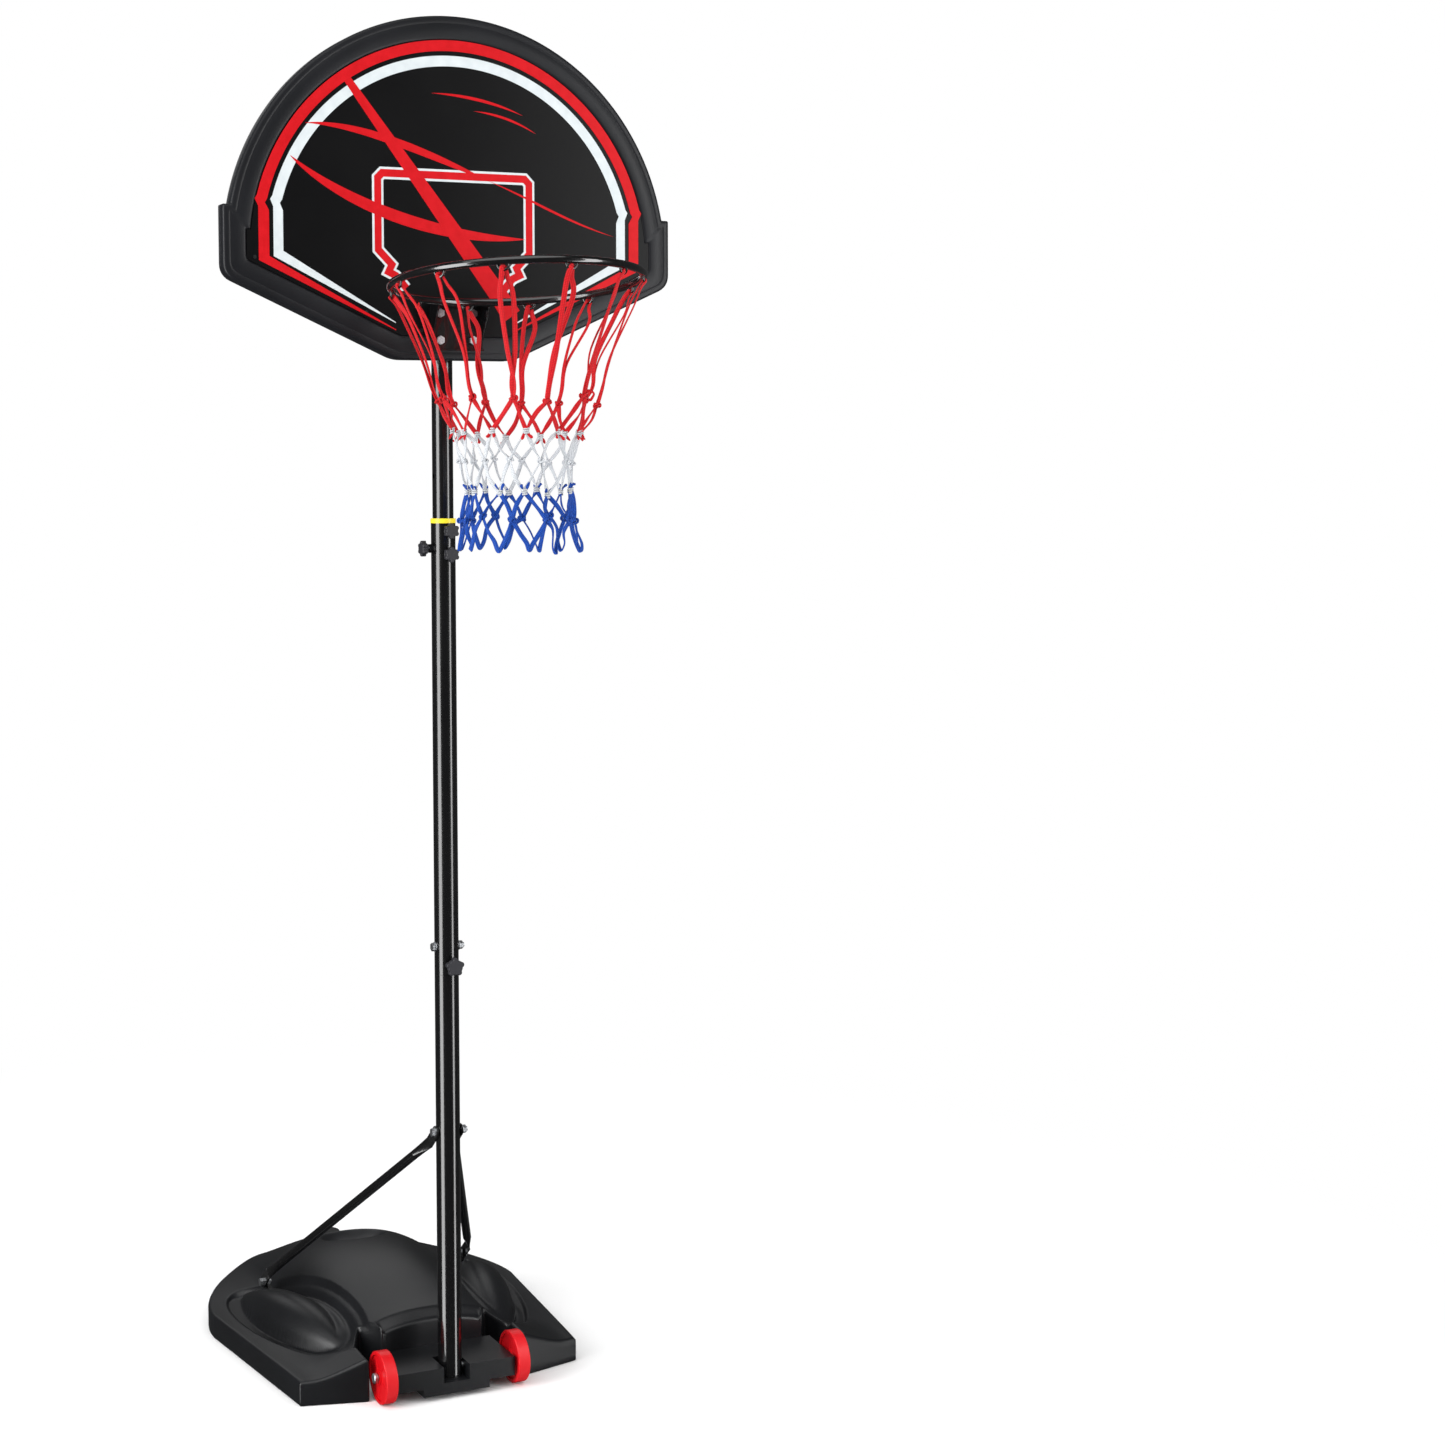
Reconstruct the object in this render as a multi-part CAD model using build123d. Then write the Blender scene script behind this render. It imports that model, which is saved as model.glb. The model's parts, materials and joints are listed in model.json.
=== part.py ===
from build123d import *
import math
import os

# Portable basketball hoop: a water or sand filled base on wheels, a bolted and telescoping
# round mast held up by two struts, and a backboard with a ring and net.
# Millimetres. The origin is on the floor at the centre of the base's footprint, +Z is up,
# the hoop faces -Y, and X = 0 is the plane of symmetry. Radii end in _R, thicknesses in _T.

# ---------------------------------------------------------------- driving dimensions
BASE_LENGTH = 660.0        # front corners to rear edge
BASE_FRONT_HALF = 263.0    # half width at the front corners
BASE_WIDE_HALF = 308.0     # half width at the widest place
BASE_WALL = 3.5            # blow-moulded wall
SKIRT_H = 40.0             # upright side wall
SHOULDER_H = 90.0          # top of the side decks
DOME_H = 150.0             # top of the centre dome
HOOD_FRONT_H = 110.0       # upright front wall of the dome
DISH_R = 65.0              # round dish in the dome
DISH_DEPTH = 25.0
HUMP_R = 50.0              # long humps on the side decks
HUMP_HALF_LENGTH = 190.0
HUMP_Z = 62.0

MAST_AHEAD = 40.0          # mast axis ahead of the front corners
AXLE_Z = 45.5
AXLE_R = 5.0
WHEEL_R = 45.0
WHEEL_T = 22.0
WHEEL_X = 124.0            # middle of each wheel
WHEEL_FIT = 0.06           # radial running fit on the axle

LOWER_R = 21.0             # lower and middle mast tubes
LOWER_WALL = 1.5
UPPER_R = 18.0             # sliding mast tube
UPPER_WALL = 1.5
MAST_FOOT_Z = 30.0
JOINT_Z = 740.0            # seam of the lower and middle tubes
NECK_LENGTH = 82.0         # swaged neck inside the middle tube
NECK_FIT = 0.25
MIDDLE_TOP_Z = 1517.0
COLLAR_H = 8.0             # lip of the guide collar
COLLAR_DEPTH = 40.0        # its sleeve inside the middle tube
SLIDE_FIT = 0.10           # radial fit of the sliding tube
UPPER_BOTTOM_Z = 1110.0
UPPER_TOP_Z = 2140.0
STEP_PITCH = 123.0         # height steps
SIDE_KNOB_Z = 1474.0
STEPS_BELOW = 2
STEPS_ABOVE = 1

BOARD_HALF = 404.0
BOARD_BOTTOM_Z = 1791.0
BOARD_TOP_Z = 2361.0
BOARD_BOTTOM_HALF = 107.0
WING_LOW_Z = 1923.0
WING_TOP_Z = 2037.0
ARCH_R = 398.0
BOARD_T = 30.0
BOARD_WALL = 3.0
PANEL_T = 4.0
PANEL_INSET = 40.0
PANEL_RECESS = 1.0
BRACKET_T = 3.0
BRACKET_HALF = 55.0
SADDLE_T = 10.5

RING_R = 200.0             # centre line of the ring
RING_WIRE_R = 6.3
RING_AHEAD = 250.5         # ring centre ahead of the board's face
RING_Z = 1901.0
RING_RISE = 5.0            # degrees that the ring lifts towards its front
HOOKS = 12
HOOK_R = 9.0
HOOK_WIRE_R = 2.0
PLATE_T = 3.5
PLATE_HALF = 47.5
PLATE_LOW_Z = 1806.0
PLATE_HIGH_Z = 1884.0
RING_BOLT_X = 30.0
RING_BOLT_Z = 1846.0
RING_BOLT_HALF_Z = 22.5
BOLT_R = 4.0
HOLE_CLEARANCE = 0.3       # radial, bolts in their holes

NET_T = 3.0
NET_TOP_R = 186.0
NET_TOP_Z = 1868.0
NET_KNOT_R = 124.0
NET_KNOT_Z = 1716.0
NET_WAIST_R = 84.0
NET_WAIST_Z = 1571.0
NET_BOTTOM_R = 94.0
NET_BOTTOM_Z = 1474.0

STRUT_R = 8.0
STRUT_WALL = 1.2
STRUT_TOP_Z = 463.0
STRUT_FOOT_X = 203.0
STRUT_FOOT_BACK = 422.0    # foot bolt behind the mast axis
STRUT_FOOT_Z = 90.0
STRUT_SEAT_R = 25.0        # round flat-bottomed pocket for each strut's foot
STRUT_SEAT_Z = 76.0
CLIP_HALF = 12.0
TAB_T = 3.2
TAB_HALF = 11.0
TAB_LENGTH = 38.0

CLAMP_KNOB_R = 13.5
CLAMP_KNOB_ZS = (1504.0, 1464.0)
JOINT_KNOB_R = 16.5
JOINT_KNOB_Z = 757.0
JOINT_BOLT_Z = 787.0
KNOB_T = 13.0
STUD_R = 4.0
STUD_FIT = 0.06
NUT_AF = 13.0
NUT_T = 6.5
APART = 0.4                # least gap between pieces that move past each other

FILLER_BACK = 592.0        # filler behind the front corners
FILLER_R = 18.0
BOSS_R = 27.0
BOSS_TOP_Z = 86.0
BOSS_H = 24.0
CAP_R = 24.0
CAP_T = 11.0
SEAL_T = 2.0

# ---------------------------------------------------------------- derived places
FRONT_Y = -BASE_LENGTH / 2
MAST_Y = FRONT_Y - MAST_AHEAD
LOWER_IN_R = LOWER_R - LOWER_WALL
UPPER_IN_R = UPPER_R - UPPER_WALL
BRACKET_BACK_Y = MAST_Y - UPPER_R - SADDLE_T
BOARD_BACK_Y = BRACKET_BACK_Y - BRACKET_T
BOARD_FACE_Y = BOARD_BACK_Y - BOARD_T
RING_Y = BOARD_FACE_Y - RING_AHEAD
FILLER_Y = FRONT_Y + FILLER_BACK
LOW = (Align.CENTER, Align.CENTER, Align.MIN)
BACK_LOW = (Align.CENTER, Align.MAX, Align.MIN)


# ---------------------------------------------------------------- helpers
def save(name, shape):
    """Write one node, with its separate solids side by side in one compound."""
    solids = shape.solids()
    export_step(solids[0] if len(solids) == 1 else Compound(solids), f"parts/{name}.step")


def rod(radius, start, end):
    """A round bar from one point to another."""
    line = Vector(*end) - Vector(*start)
    plane = Plane(origin=start, z_dir=line)
    return plane * Cylinder(radius, line.length, align=LOW)


def tube(outer, inner, low, high, y=None):
    """An upright tube on the mast axis."""
    place = Pos(0, MAST_Y if y is None else y, low)
    return place * (Cylinder(outer, high - low, align=LOW) - Cylinder(inner, high - low, align=LOW))


def hexagon(across_flats, thick):
    return extrude(RegularPolygon(across_flats / math.sqrt(3), 6), thick)


def outward(direction, radius, z):
    """A plane on the mast at a radius, whose +Z points away from the axis."""
    origin = (direction[0] * radius, MAST_Y + direction[1] * radius, z)
    return Plane(origin=origin, z_dir=(direction[0], direction[1], 0), x_dir=(0, 0, 1))


def side_prism(points):
    """A Y-Z outline, drawn by a smooth top line between straight ends, carried across X."""
    top = Spline(*points)
    y0, y1 = points[0][0], points[-1][0]
    face = make_face([top, Line(points[-1], (y1, 0)), Line((y1, 0), (y0, 0)), Line((y0, 0), points[0])])
    return extrude(Plane.YZ * face, BASE_WIDE_HALF * 2, both=True)


def front_prism(points):
    """An X-Z outline, from its right half, carried along Y."""
    right = [Vector(x, z) for x, z in points]
    left = [Vector(-x, z) for x, z in reversed(points)][:-1]
    top = Spline(*(right[::-1] + left[::-1]))
    end = points[-1]
    face = make_face([top, Line((-end[0], end[1]), (-end[0], 0)), Line((-end[0], 0), (end[0], 0)),
                      Line((end[0], 0), (end[0], end[1]))])
    return extrude(Plane.XZ * face, BASE_LENGTH * 2, both=True)


# ---------------------------------------------------------------- base
LEG_BOW = 28.0             # how far the legs' front edges bow forward
BAY_HALF = WHEEL_X + WHEEL_T / 2 + 11.0   # half the gap between the legs
HOOD_BACK = 40.0           # front wall of the dome behind the front corners
DOME_HALF = 150.0
BACK_BULGE = 8.0           # how far the round back's shoulders swell past the sides
BACK_SHOULDER = 120.0      # length of those shoulders
BACK_ROUND = 0.72          # fullness of the round back


def footprint(inset):
    """Plan of the base: splayed sides, a round back and two legs with a bay between them."""
    wide_y = FRONT_Y + BASE_LENGTH * 0.62
    back_y = FRONT_Y + BASE_LENGTH - inset
    front_y = FRONT_Y + inset
    hood_y = front_y + HOOD_BACK
    front, wide, bay_half = BASE_FRONT_HALF - inset, BASE_WIDE_HALF - inset, BAY_HALF + inset
    bulge, shoulder_y = wide + BACK_BULGE, wide_y + BACK_SHOULDER
    right = Line((front, front_y), (wide, wide_y))
    back = Bezier((wide, wide_y), (bulge, shoulder_y), (bulge * BACK_ROUND, back_y), (0, back_y))
    back_left = Bezier((0, back_y), (-bulge * BACK_ROUND, back_y), (-bulge, shoulder_y), (-wide, wide_y))
    left = Line((-wide, wide_y), (-front, front_y))
    bay = Polyline((-front, front_y), (-bay_half, front_y - LEG_BOW), (-bay_half, hood_y),
                   (bay_half, hood_y), (bay_half, front_y - LEG_BOW), (front, front_y))
    return make_face([right, back, back_left, left, *bay.edges()])


def shell_block(inset):
    """The base's filled outer shape, or with an inset the space inside its wall."""
    plan = footprint(inset)
    y0, y1 = FRONT_Y - LEG_BOW, FRONT_Y + BASE_LENGTH
    skirt = Pos(0, 0, inset) * extrude(plan, SKIRT_H - 2 * inset)
    deck_side = side_prism([(y0 - 5, SKIRT_H - inset), (FRONT_Y + 120, SHOULDER_H * 0.8 - inset),
                            (FRONT_Y + 330, SHOULDER_H - inset), (FRONT_Y + 540, SHOULDER_H * 0.86 - inset),
                            (y1 + 5, SKIRT_H - inset)])
    deck_front = front_prism([(0, SHOULDER_H + 6 - inset), (BASE_FRONT_HALF * 0.8, SHOULDER_H - inset),
                              (BASE_WIDE_HALF + 5, SKIRT_H * 0.8 - inset)])
    raised = Pos(0, 0, inset) * extrude(plan, DOME_H)
    deck = raised & deck_side & deck_front
    dome_plan = Pos(0, FRONT_Y + (HOOD_BACK + BASE_LENGTH - 12) / 2) * RectangleRounded(
        2 * (DOME_HALF - inset), BASE_LENGTH - 12 - HOOD_BACK - 2 * inset, 20)
    dome_side = side_prism([(FRONT_Y + HOOD_BACK - 1, HOOD_FRONT_H - inset),
                            (FRONT_Y + 290, DOME_H - inset), (FRONT_Y + 450, DOME_H - 14 - inset),
                            (FRONT_Y + 570, HOOD_FRONT_H - 14 - inset), (y1 - 2, SKIRT_H - inset)])
    dome_front = front_prism([(0, DOME_H + 1 - inset), (DOME_HALF * 0.6, DOME_H * 0.9 - inset),
                              (DOME_HALF, SHOULDER_H - inset)])
    dome = raised & extrude(dome_plan, DOME_H) & dome_side & dome_front
    block = skirt + deck + dome
    for side in (1, -1):
        block += hump(side, inset)
    return block


def hump(side, inset):
    """A long spindle on a side deck: an arc turned about its own chord, cut level underneath."""
    radius, half = HUMP_R - inset, HUMP_HALF_LENGTH - inset
    arc = ThreePointArc((-half, 0), (0, radius), (half, 0))
    spindle = revolve(make_face([arc, Line((half, 0), (-half, 0))]), Axis.X, 360)
    place = Pos(side * 197, FRONT_Y + 255, HUMP_Z) * Rot(0, 0, 90 - side * 12.4)
    above = Pos(0, 0, SKIRT_H) * Box(4 * BASE_WIDE_HALF, 4 * BASE_LENGTH, DOME_H, align=LOW)
    return (place * spindle) & above


def dish(extra):
    """The ball that scoops the round dish out of the dome."""
    scoop_r = (DISH_R**2 + DISH_DEPTH**2) / (2 * DISH_DEPTH)
    rim_z = DOME_H - 16
    return Pos(0, FRONT_Y + 455, rim_z - DISH_DEPTH + scoop_r) * Sphere(scoop_r + extra)


def strut_seats(extra):
    """Cutters for the flat-bottomed pockets that the struts' feet stand in."""
    low = STRUT_SEAT_Z - extra
    cutter = Cylinder(STRUT_SEAT_R + extra, DOME_H, align=LOW)
    places = [Pos(side * STRUT_FOOT_X, MAST_Y + STRUT_FOOT_BACK, low) for side in (1, -1)]
    return places[0] * cutter + places[1] * cutter


def base_tank():
    """One hollow moulding: skirt, side decks, dome and humps, with a hole for the filler ring."""
    inside = shell_block(BASE_WALL) - dish(BASE_WALL) - strut_seats(BASE_WALL)
    tank = shell_block(0) - dish(0) - strut_seats(0) - inside
    return tank - Pos(0, FILLER_Y, BOSS_TOP_Z - BOSS_H) * Cylinder(BOSS_R, DOME_H, align=LOW)


def filler_ring():
    """The thick ring welded into the tank's hole, which the filler cap turns in."""
    return tube(BOSS_R, FILLER_R, BOSS_TOP_Z - BOSS_H, BOSS_TOP_Z, FILLER_Y)


SEAT_HALF = WHEEL_X - WHEEL_T / 2 - 3.0    # half length of the mast seat between the wheels
SEAT_TOP_Z = 57.0
SEAT_LOW_Z = 24.0
SEAT_AHEAD = 32.0                          # seat ahead of the mast axis
SEAT_KEEL_Z = 10.0                         # deeper middle of the seat, under the mast
SEAT_KEEL_HALF = 62.0


def mast_seat():
    """The beam between the wheels, with a slot that the mast stands in and the axle's hole."""
    back_y = FRONT_Y + HOOD_BACK
    front_y = MAST_Y - SEAT_AHEAD
    depth, height = back_y - front_y, SEAT_TOP_Z - SEAT_LOW_Z
    beam = Pos(0, back_y, SEAT_LOW_Z) * Box(2 * SEAT_HALF, depth, height, align=BACK_LOW)
    beam += Pos(0, back_y, SEAT_KEEL_Z) * Box(2 * SEAT_KEEL_HALF, depth, 20, align=BACK_LOW)
    slot_half = LOWER_R + 3.0
    slot = Pos(0, MAST_Y, MAST_FOOT_Z) * Box(2 * slot_half, 4 * slot_half, SEAT_TOP_Z, align=LOW)
    slot &= Pos(0, MAST_Y + slot_half - 200, 0) * Box(200, 400, 400)
    bore = rod(AXLE_R + HOLE_CLEARANCE, (-SEAT_HALF, MAST_Y, AXLE_Z), (SEAT_HALF, MAST_Y, AXLE_Z))
    return beam - slot - bore


def filler_cap():
    """A grooved cap with a plug that turns in the filler."""
    low = BOSS_TOP_Z + SEAL_T + APART
    cap = Pos(0, FILLER_Y, low) * Cylinder(CAP_R, CAP_T, align=LOW)
    cap = fillet(cap.edges().sort_by(Axis.Z)[-1], 2.0)
    for i in range(24):
        angle = i * 15
        cap -= Pos(0, FILLER_Y, low - 1) * Rot(0, 0, angle) * Pos(CAP_R + 0.4, 0, 0) * Cylinder(
            1.4, CAP_T - 2, align=LOW)
    plug = Pos(0, FILLER_Y, low - 16) * Cylinder(FILLER_R - APART, 16, align=LOW)
    plug -= Pos(0, FILLER_Y, low - 16) * Cylinder(FILLER_R - APART - 2.5, 14, align=LOW)
    return cap + plug


def filler_seal():
    return tube(CAP_R - 2, FILLER_R + APART, BOSS_TOP_Z, BOSS_TOP_Z + SEAL_T, FILLER_Y)


# ---------------------------------------------------------------- wheels and axle
AXLE_HALF = WHEEL_X + WHEEL_T / 2 + 6.0


def axle():
    return rod(AXLE_R, (-AXLE_HALF, MAST_Y, AXLE_Z), (AXLE_HALF, MAST_Y, AXLE_Z))


def axle_caps():
    """Push-on domed caps at the axle's two ends."""
    start = AXLE_HALF - 4.0
    caps = []
    for side in (1, -1):
        plane = Plane(origin=(side * start, MAST_Y, AXLE_Z), z_dir=(side, 0, 0))
        disc = Cylinder(9.0, 6.5, align=LOW)
        disc = fillet(disc.edges().sort_by(Axis.Z)[-1], 2.5)
        caps.append(plane * (disc - Cylinder(AXLE_R, 4.0, align=LOW)))
    return Compound(caps)


def wheel(side):
    """A red moulded wheel: a broad rim, a thin web, a hub and five ribs, bored to run on the axle."""
    half, web, rim_t = WHEEL_T / 2, 2.5, 6.0
    body = Cylinder(WHEEL_R, WHEEL_T)
    body = fillet(body.edges(), 2.0)
    pocket = Cylinder(WHEEL_R - rim_t, half) - Cylinder(12.0, half)
    for end in (1, -1):
        body -= Pos(0, 0, end * (half + web)) * pocket
    for i in range(5):
        body += Rot(0, 0, 72 * i) * Pos((WHEEL_R + 4) / 2, 0, 0) * Box(WHEEL_R - rim_t - 10, 3, WHEEL_T - 5)
    body -= Cylinder(AXLE_R + WHEEL_FIT, 2 * WHEEL_T)
    return Plane(origin=(side * WHEEL_X, MAST_Y, AXLE_Z), z_dir=(side, 0, 0)) * body


# ---------------------------------------------------------------- mast
def cross_bore(direction, radius, z, reach):
    """A round cutter that runs out from near the mast axis."""
    return outward(direction, 5.0, z) * Cylinder(radius, reach, align=LOW)


def lower_tube():
    """The bottom tube, with a narrower neck that goes up inside the middle tube."""
    neck_r = LOWER_IN_R - NECK_FIT
    neck_top = JOINT_Z + NECK_LENGTH
    part = tube(LOWER_R, LOWER_IN_R, MAST_FOOT_Z + 2, JOINT_Z - 0.5)
    part += tube(neck_r, neck_r - LOWER_WALL, JOINT_Z - 6, neck_top)
    shoulder = tube(LOWER_R, neck_r - LOWER_WALL, JOINT_Z - 6, JOINT_Z - 0.5)
    part += shoulder
    for z, r in ((AXLE_Z, AXLE_R), (STRUT_TOP_Z, BOLT_R), (JOINT_BOLT_Z, BOLT_R)):
        part -= rod(r + HOLE_CLEARANCE, (-LOWER_R - 1, MAST_Y, z), (LOWER_R + 1, MAST_Y, z))
    return part - cross_bore((0, -1), STUD_R + APART, JOINT_KNOB_Z, LOWER_R)


def mast_foot():
    """A plastic plug that closes the mast's bottom end and stands in the seat."""
    plug = tube(LOWER_R, 8.0, MAST_FOOT_Z, MAST_FOOT_Z + 2)
    plug += tube(LOWER_IN_R - 0.1, LOWER_IN_R - 2.6, MAST_FOOT_Z, AXLE_Z - AXLE_R - 2)
    return plug


def middle_tube():
    """The middle tube: over the neck below, around the sliding tube above."""
    part = tube(LOWER_R, LOWER_IN_R, JOINT_Z, MIDDLE_TOP_Z)
    part -= rod(BOLT_R + HOLE_CLEARANCE, (-LOWER_R - 1, MAST_Y, JOINT_BOLT_Z),
                (LOWER_R + 1, MAST_Y, JOINT_BOLT_Z))
    for z in (*CLAMP_KNOB_ZS, JOINT_KNOB_Z):
        part -= cross_bore((0, -1), STUD_R + APART, z, LOWER_R)
    return part - cross_bore((-1, 0), STUD_R + APART, SIDE_KNOB_Z, LOWER_R)


def guide_collar():
    """Yellow collar: a lip on top of the middle tube and a thin sleeve that guides the slide."""
    bore = UPPER_R + SLIDE_FIT
    lip = tube(LOWER_R + 0.6, bore, MIDDLE_TOP_Z, MIDDLE_TOP_Z + COLLAR_H)
    sleeve = tube(LOWER_IN_R - 0.1, bore, CLAMP_KNOB_ZS[0] + STUD_R + 1.5, MIDDLE_TOP_Z)
    return lip + sleeve


def upper_tube():
    """The sliding tube, with a row of holes that the side knob locks into."""
    part = tube(UPPER_R, UPPER_IN_R, UPPER_BOTTOM_Z, UPPER_TOP_Z)
    for step in range(-STEPS_BELOW, STEPS_ABOVE + 1):
        part -= cross_bore((-1, 0), STUD_R + APART, SIDE_KNOB_Z + step * STEP_PITCH, UPPER_R)
    return part


def slide_foot():
    """Plastic ring and plug on the sliding tube's bottom end, running inside the middle tube."""
    ring = tube(LOWER_IN_R - SLIDE_FIT, UPPER_IN_R - 2.5, UPPER_BOTTOM_Z - 12, UPPER_BOTTOM_Z)
    return ring + tube(UPPER_IN_R - 0.1, UPPER_IN_R - 2.5, UPPER_BOTTOM_Z, UPPER_BOTTOM_Z + 18)


def mast_cap():
    """Domed plastic plug in the sliding tube's top end."""
    head = Cylinder(UPPER_R + 0.5, 6.0, align=LOW)
    head = fillet(head.edges().sort_by(Axis.Z)[-1], 4.0)
    plug = tube(UPPER_IN_R - 0.1, UPPER_IN_R - 2.6, UPPER_TOP_Z - 22, UPPER_TOP_Z)
    return Pos(0, MAST_Y, UPPER_TOP_Z) * head + plug


def welded_nut(direction, z):
    """A hexagon nut on the outside of a mast tube."""
    body = outward(direction, LOWER_R - 2.0, z) * hexagon(NUT_AF, NUT_T + 2.0)
    body -= Pos(0, MAST_Y, z) * Cylinder(LOWER_R, 4 * NUT_AF)
    return body - outward(direction, 0, z) * Cylinder(STUD_R + STUD_FIT, 4 * NUT_AF, align=LOW)


def clamp_nuts():
    return Compound([*(welded_nut((0, -1), z).solid() for z in CLAMP_KNOB_ZS),
                     welded_nut((-1, 0), SIDE_KNOB_Z).solid(),
                     welded_nut((0, -1), JOINT_KNOB_Z).solid()])


KNOB_START_R = LOWER_R + NUT_T + 1.5       # knob's inner face from the mast axis


def star_knob(direction, z, radius, lobes):
    """A moulded star grip on a short collar, with the stud's end moulded in."""
    star = Circle(radius * 0.80)
    for i in range(lobes):
        star += Rot(0, 0, i * 360 / lobes) * Pos(radius * 0.72, 0) * Circle(radius * 0.28)
    grip = Pos(0, 0, 4.0) * extrude(star, KNOB_T - 4.0)
    grip = chamfer(grip.edges().filter_by(Plane.XY).group_by(Axis.Z)[-1], 1.2)
    grip += Cylinder(radius * 0.5, 4.5, align=LOW)
    grip -= Cylinder(STUD_R, KNOB_T - 4.0, align=LOW)
    return outward(direction, KNOB_START_R, z) * grip


def stud(direction, z, tip_r):
    """The steel stud that a knob turns, from its tip to inside the knob."""
    return outward(direction, tip_r, z) * Cylinder(STUD_R, KNOB_START_R + KNOB_T - 4.0 - tip_r, align=LOW)


# ---------------------------------------------------------------- bolts
def cross_bolt(z, grip_half):
    """A hexagon-head bolt through the mast along X, its head at -X and thread end at +X."""
    bolt = rod(BOLT_R, (-grip_half, MAST_Y, z), (grip_half + NUT_T + 3.0, MAST_Y, z))
    head = Plane(origin=(-grip_half, MAST_Y, z), z_dir=(-1, 0, 0)) * hexagon(NUT_AF, 5.3)
    return bolt + head


def cross_nut(z, grip_half):
    plane = Plane(origin=(grip_half, MAST_Y, z), z_dir=(1, 0, 0))
    return plane * (hexagon(NUT_AF, NUT_T) - Cylinder(BOLT_R, NUT_T, align=LOW))


def washers(z, grip_half):
    """Two plain washers under a cross bolt's head and nut."""
    ring = Cylinder(8.5, 1.5, align=LOW) - Cylinder(BOLT_R + 0.2, 1.5, align=LOW)
    planes = [Plane(origin=(s * (grip_half - 1.5), MAST_Y, z), z_dir=(s, 0, 0)) for s in (1, -1)]
    return Compound([plane * ring for plane in planes])


# ---------------------------------------------------------------- struts
STRUT_GRIP = LOWER_R + TAB_T + 0.3 + 1.5   # strut bolt head from the mast axis


def strut_points(side):
    """Bolt centres at a strut's upper and lower ends."""
    top = Vector(side * (LOWER_R + 0.3 + TAB_T / 2), MAST_Y, STRUT_TOP_Z)
    foot = Vector(side * STRUT_FOOT_X, MAST_Y + STRUT_FOOT_BACK, STRUT_FOOT_Z)
    return top, foot


def strut(side):
    """A round tube with both ends pressed flat, the flats upright and facing across the base."""
    top, foot = strut_points(side)
    run = foot - top
    flat_dir = Vector(0, run.Y, run.Z).normalized()
    bend_top, bend_foot = top + flat_dir * TAB_LENGTH, foot - flat_dir * TAB_LENGTH
    line = (bend_foot - bend_top).normalized()
    middle = []
    for start, way in ((bend_top, 1), (bend_foot, -1)):
        flat = Plane(origin=start, x_dir=(1, 0, 0), z_dir=flat_dir) * Ellipse(TAB_T / 2, TAB_HALF)
        round_place = Plane(origin=start + line * (way * 42.0), x_dir=(1, 0, 0), z_dir=line)
        middle.append((flat, round_place * Circle(STRUT_R)))
    part = loft([middle[0][0].face(), middle[0][1].face()]) + loft([middle[1][1].face(), middle[1][0].face()])
    start, end = bend_top + line * 42.0, bend_foot - line * 42.0
    part += rod(STRUT_R, tuple(start), tuple(end)) - rod(STRUT_R - STRUT_WALL, tuple(start), tuple(end))
    for hole, away in ((top, 1), (foot, -1)):
        tab = Plane(origin=hole, x_dir=flat_dir * away, z_dir=(1, 0, 0))
        half = TAB_LENGTH / 2
        part += tab * Pos(half, 0, 0) * Box(TAB_LENGTH + 1, 2 * TAB_HALF * 0.96, TAB_T)
        part += tab * Cylinder(TAB_HALF * 0.96, TAB_T)
        part -= tab * Cylinder(BOLT_R + HOLE_CLEARANCE, 4 * TAB_T)
    return part


def foot_clips():
    """Steel angle clips in the pockets: a pad on the moulding and an upright ear for the strut."""
    clips = []
    ear_top = STRUT_FOOT_Z + CLIP_HALF
    for side in (1, -1):
        _, foot = strut_points(side)
        ear_x = foot.X - side * (TAB_T + 0.2)
        ear_place = Pos(ear_x, foot.Y, STRUT_SEAT_Z)
        ear = ear_place * Box(TAB_T, 2 * CLIP_HALF, ear_top - STRUT_SEAT_Z, align=LOW)
        pad = ear_place * Box(2 * CLIP_HALF, 2 * CLIP_HALF, TAB_T, align=LOW)
        pad &= Pos(ear_x - side * 50, 0, 0) * Box(100, 4 * BASE_LENGTH, DOME_H * 2)
        bore = rod(BOLT_R + HOLE_CLEARANCE, (ear_x - 9, foot.Y, foot.Z), (ear_x + 9, foot.Y, foot.Z))
        clips.append((ear + pad - bore).solid())
    return Compound(clips)


def foot_bolts():
    """Bolts that pin the struts to the clips, each with its head outside and its nut inside."""
    bolts = []
    for side in (1, -1):
        _, foot = strut_points(side)
        out_x = foot.X + side * (TAB_T / 2 + 0.2)
        in_x = foot.X - side * (TAB_T * 1.5 + 0.4)
        bolt = rod(BOLT_R, (in_x - side * 9, foot.Y, foot.Z), (out_x, foot.Y, foot.Z))
        bolt += Plane(origin=(out_x, foot.Y, foot.Z), z_dir=(side, 0, 0)) * hexagon(NUT_AF, 5.3)
        bolts.append(bolt.solid())
    return Compound(bolts)


def foot_nuts():
    nuts = []
    for side in (1, -1):
        _, foot = strut_points(side)
        in_x = foot.X - side * (TAB_T * 1.5 + 0.4)
        plane = Plane(origin=(in_x, foot.Y, foot.Z), z_dir=(-side, 0, 0))
        nuts.append(plane * (hexagon(NUT_AF, NUT_T) - Cylinder(BOLT_R, NUT_T, align=LOW)))
    return Compound(nuts)


# ---------------------------------------------------------------- backboard
def board_plane(y):
    """Sketches on this plane are in X and Z, and its normal points to the front."""
    return Plane(origin=(0, y, 0), x_dir=(1, 0, 0), z_dir=(0, -1, 0))


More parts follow.
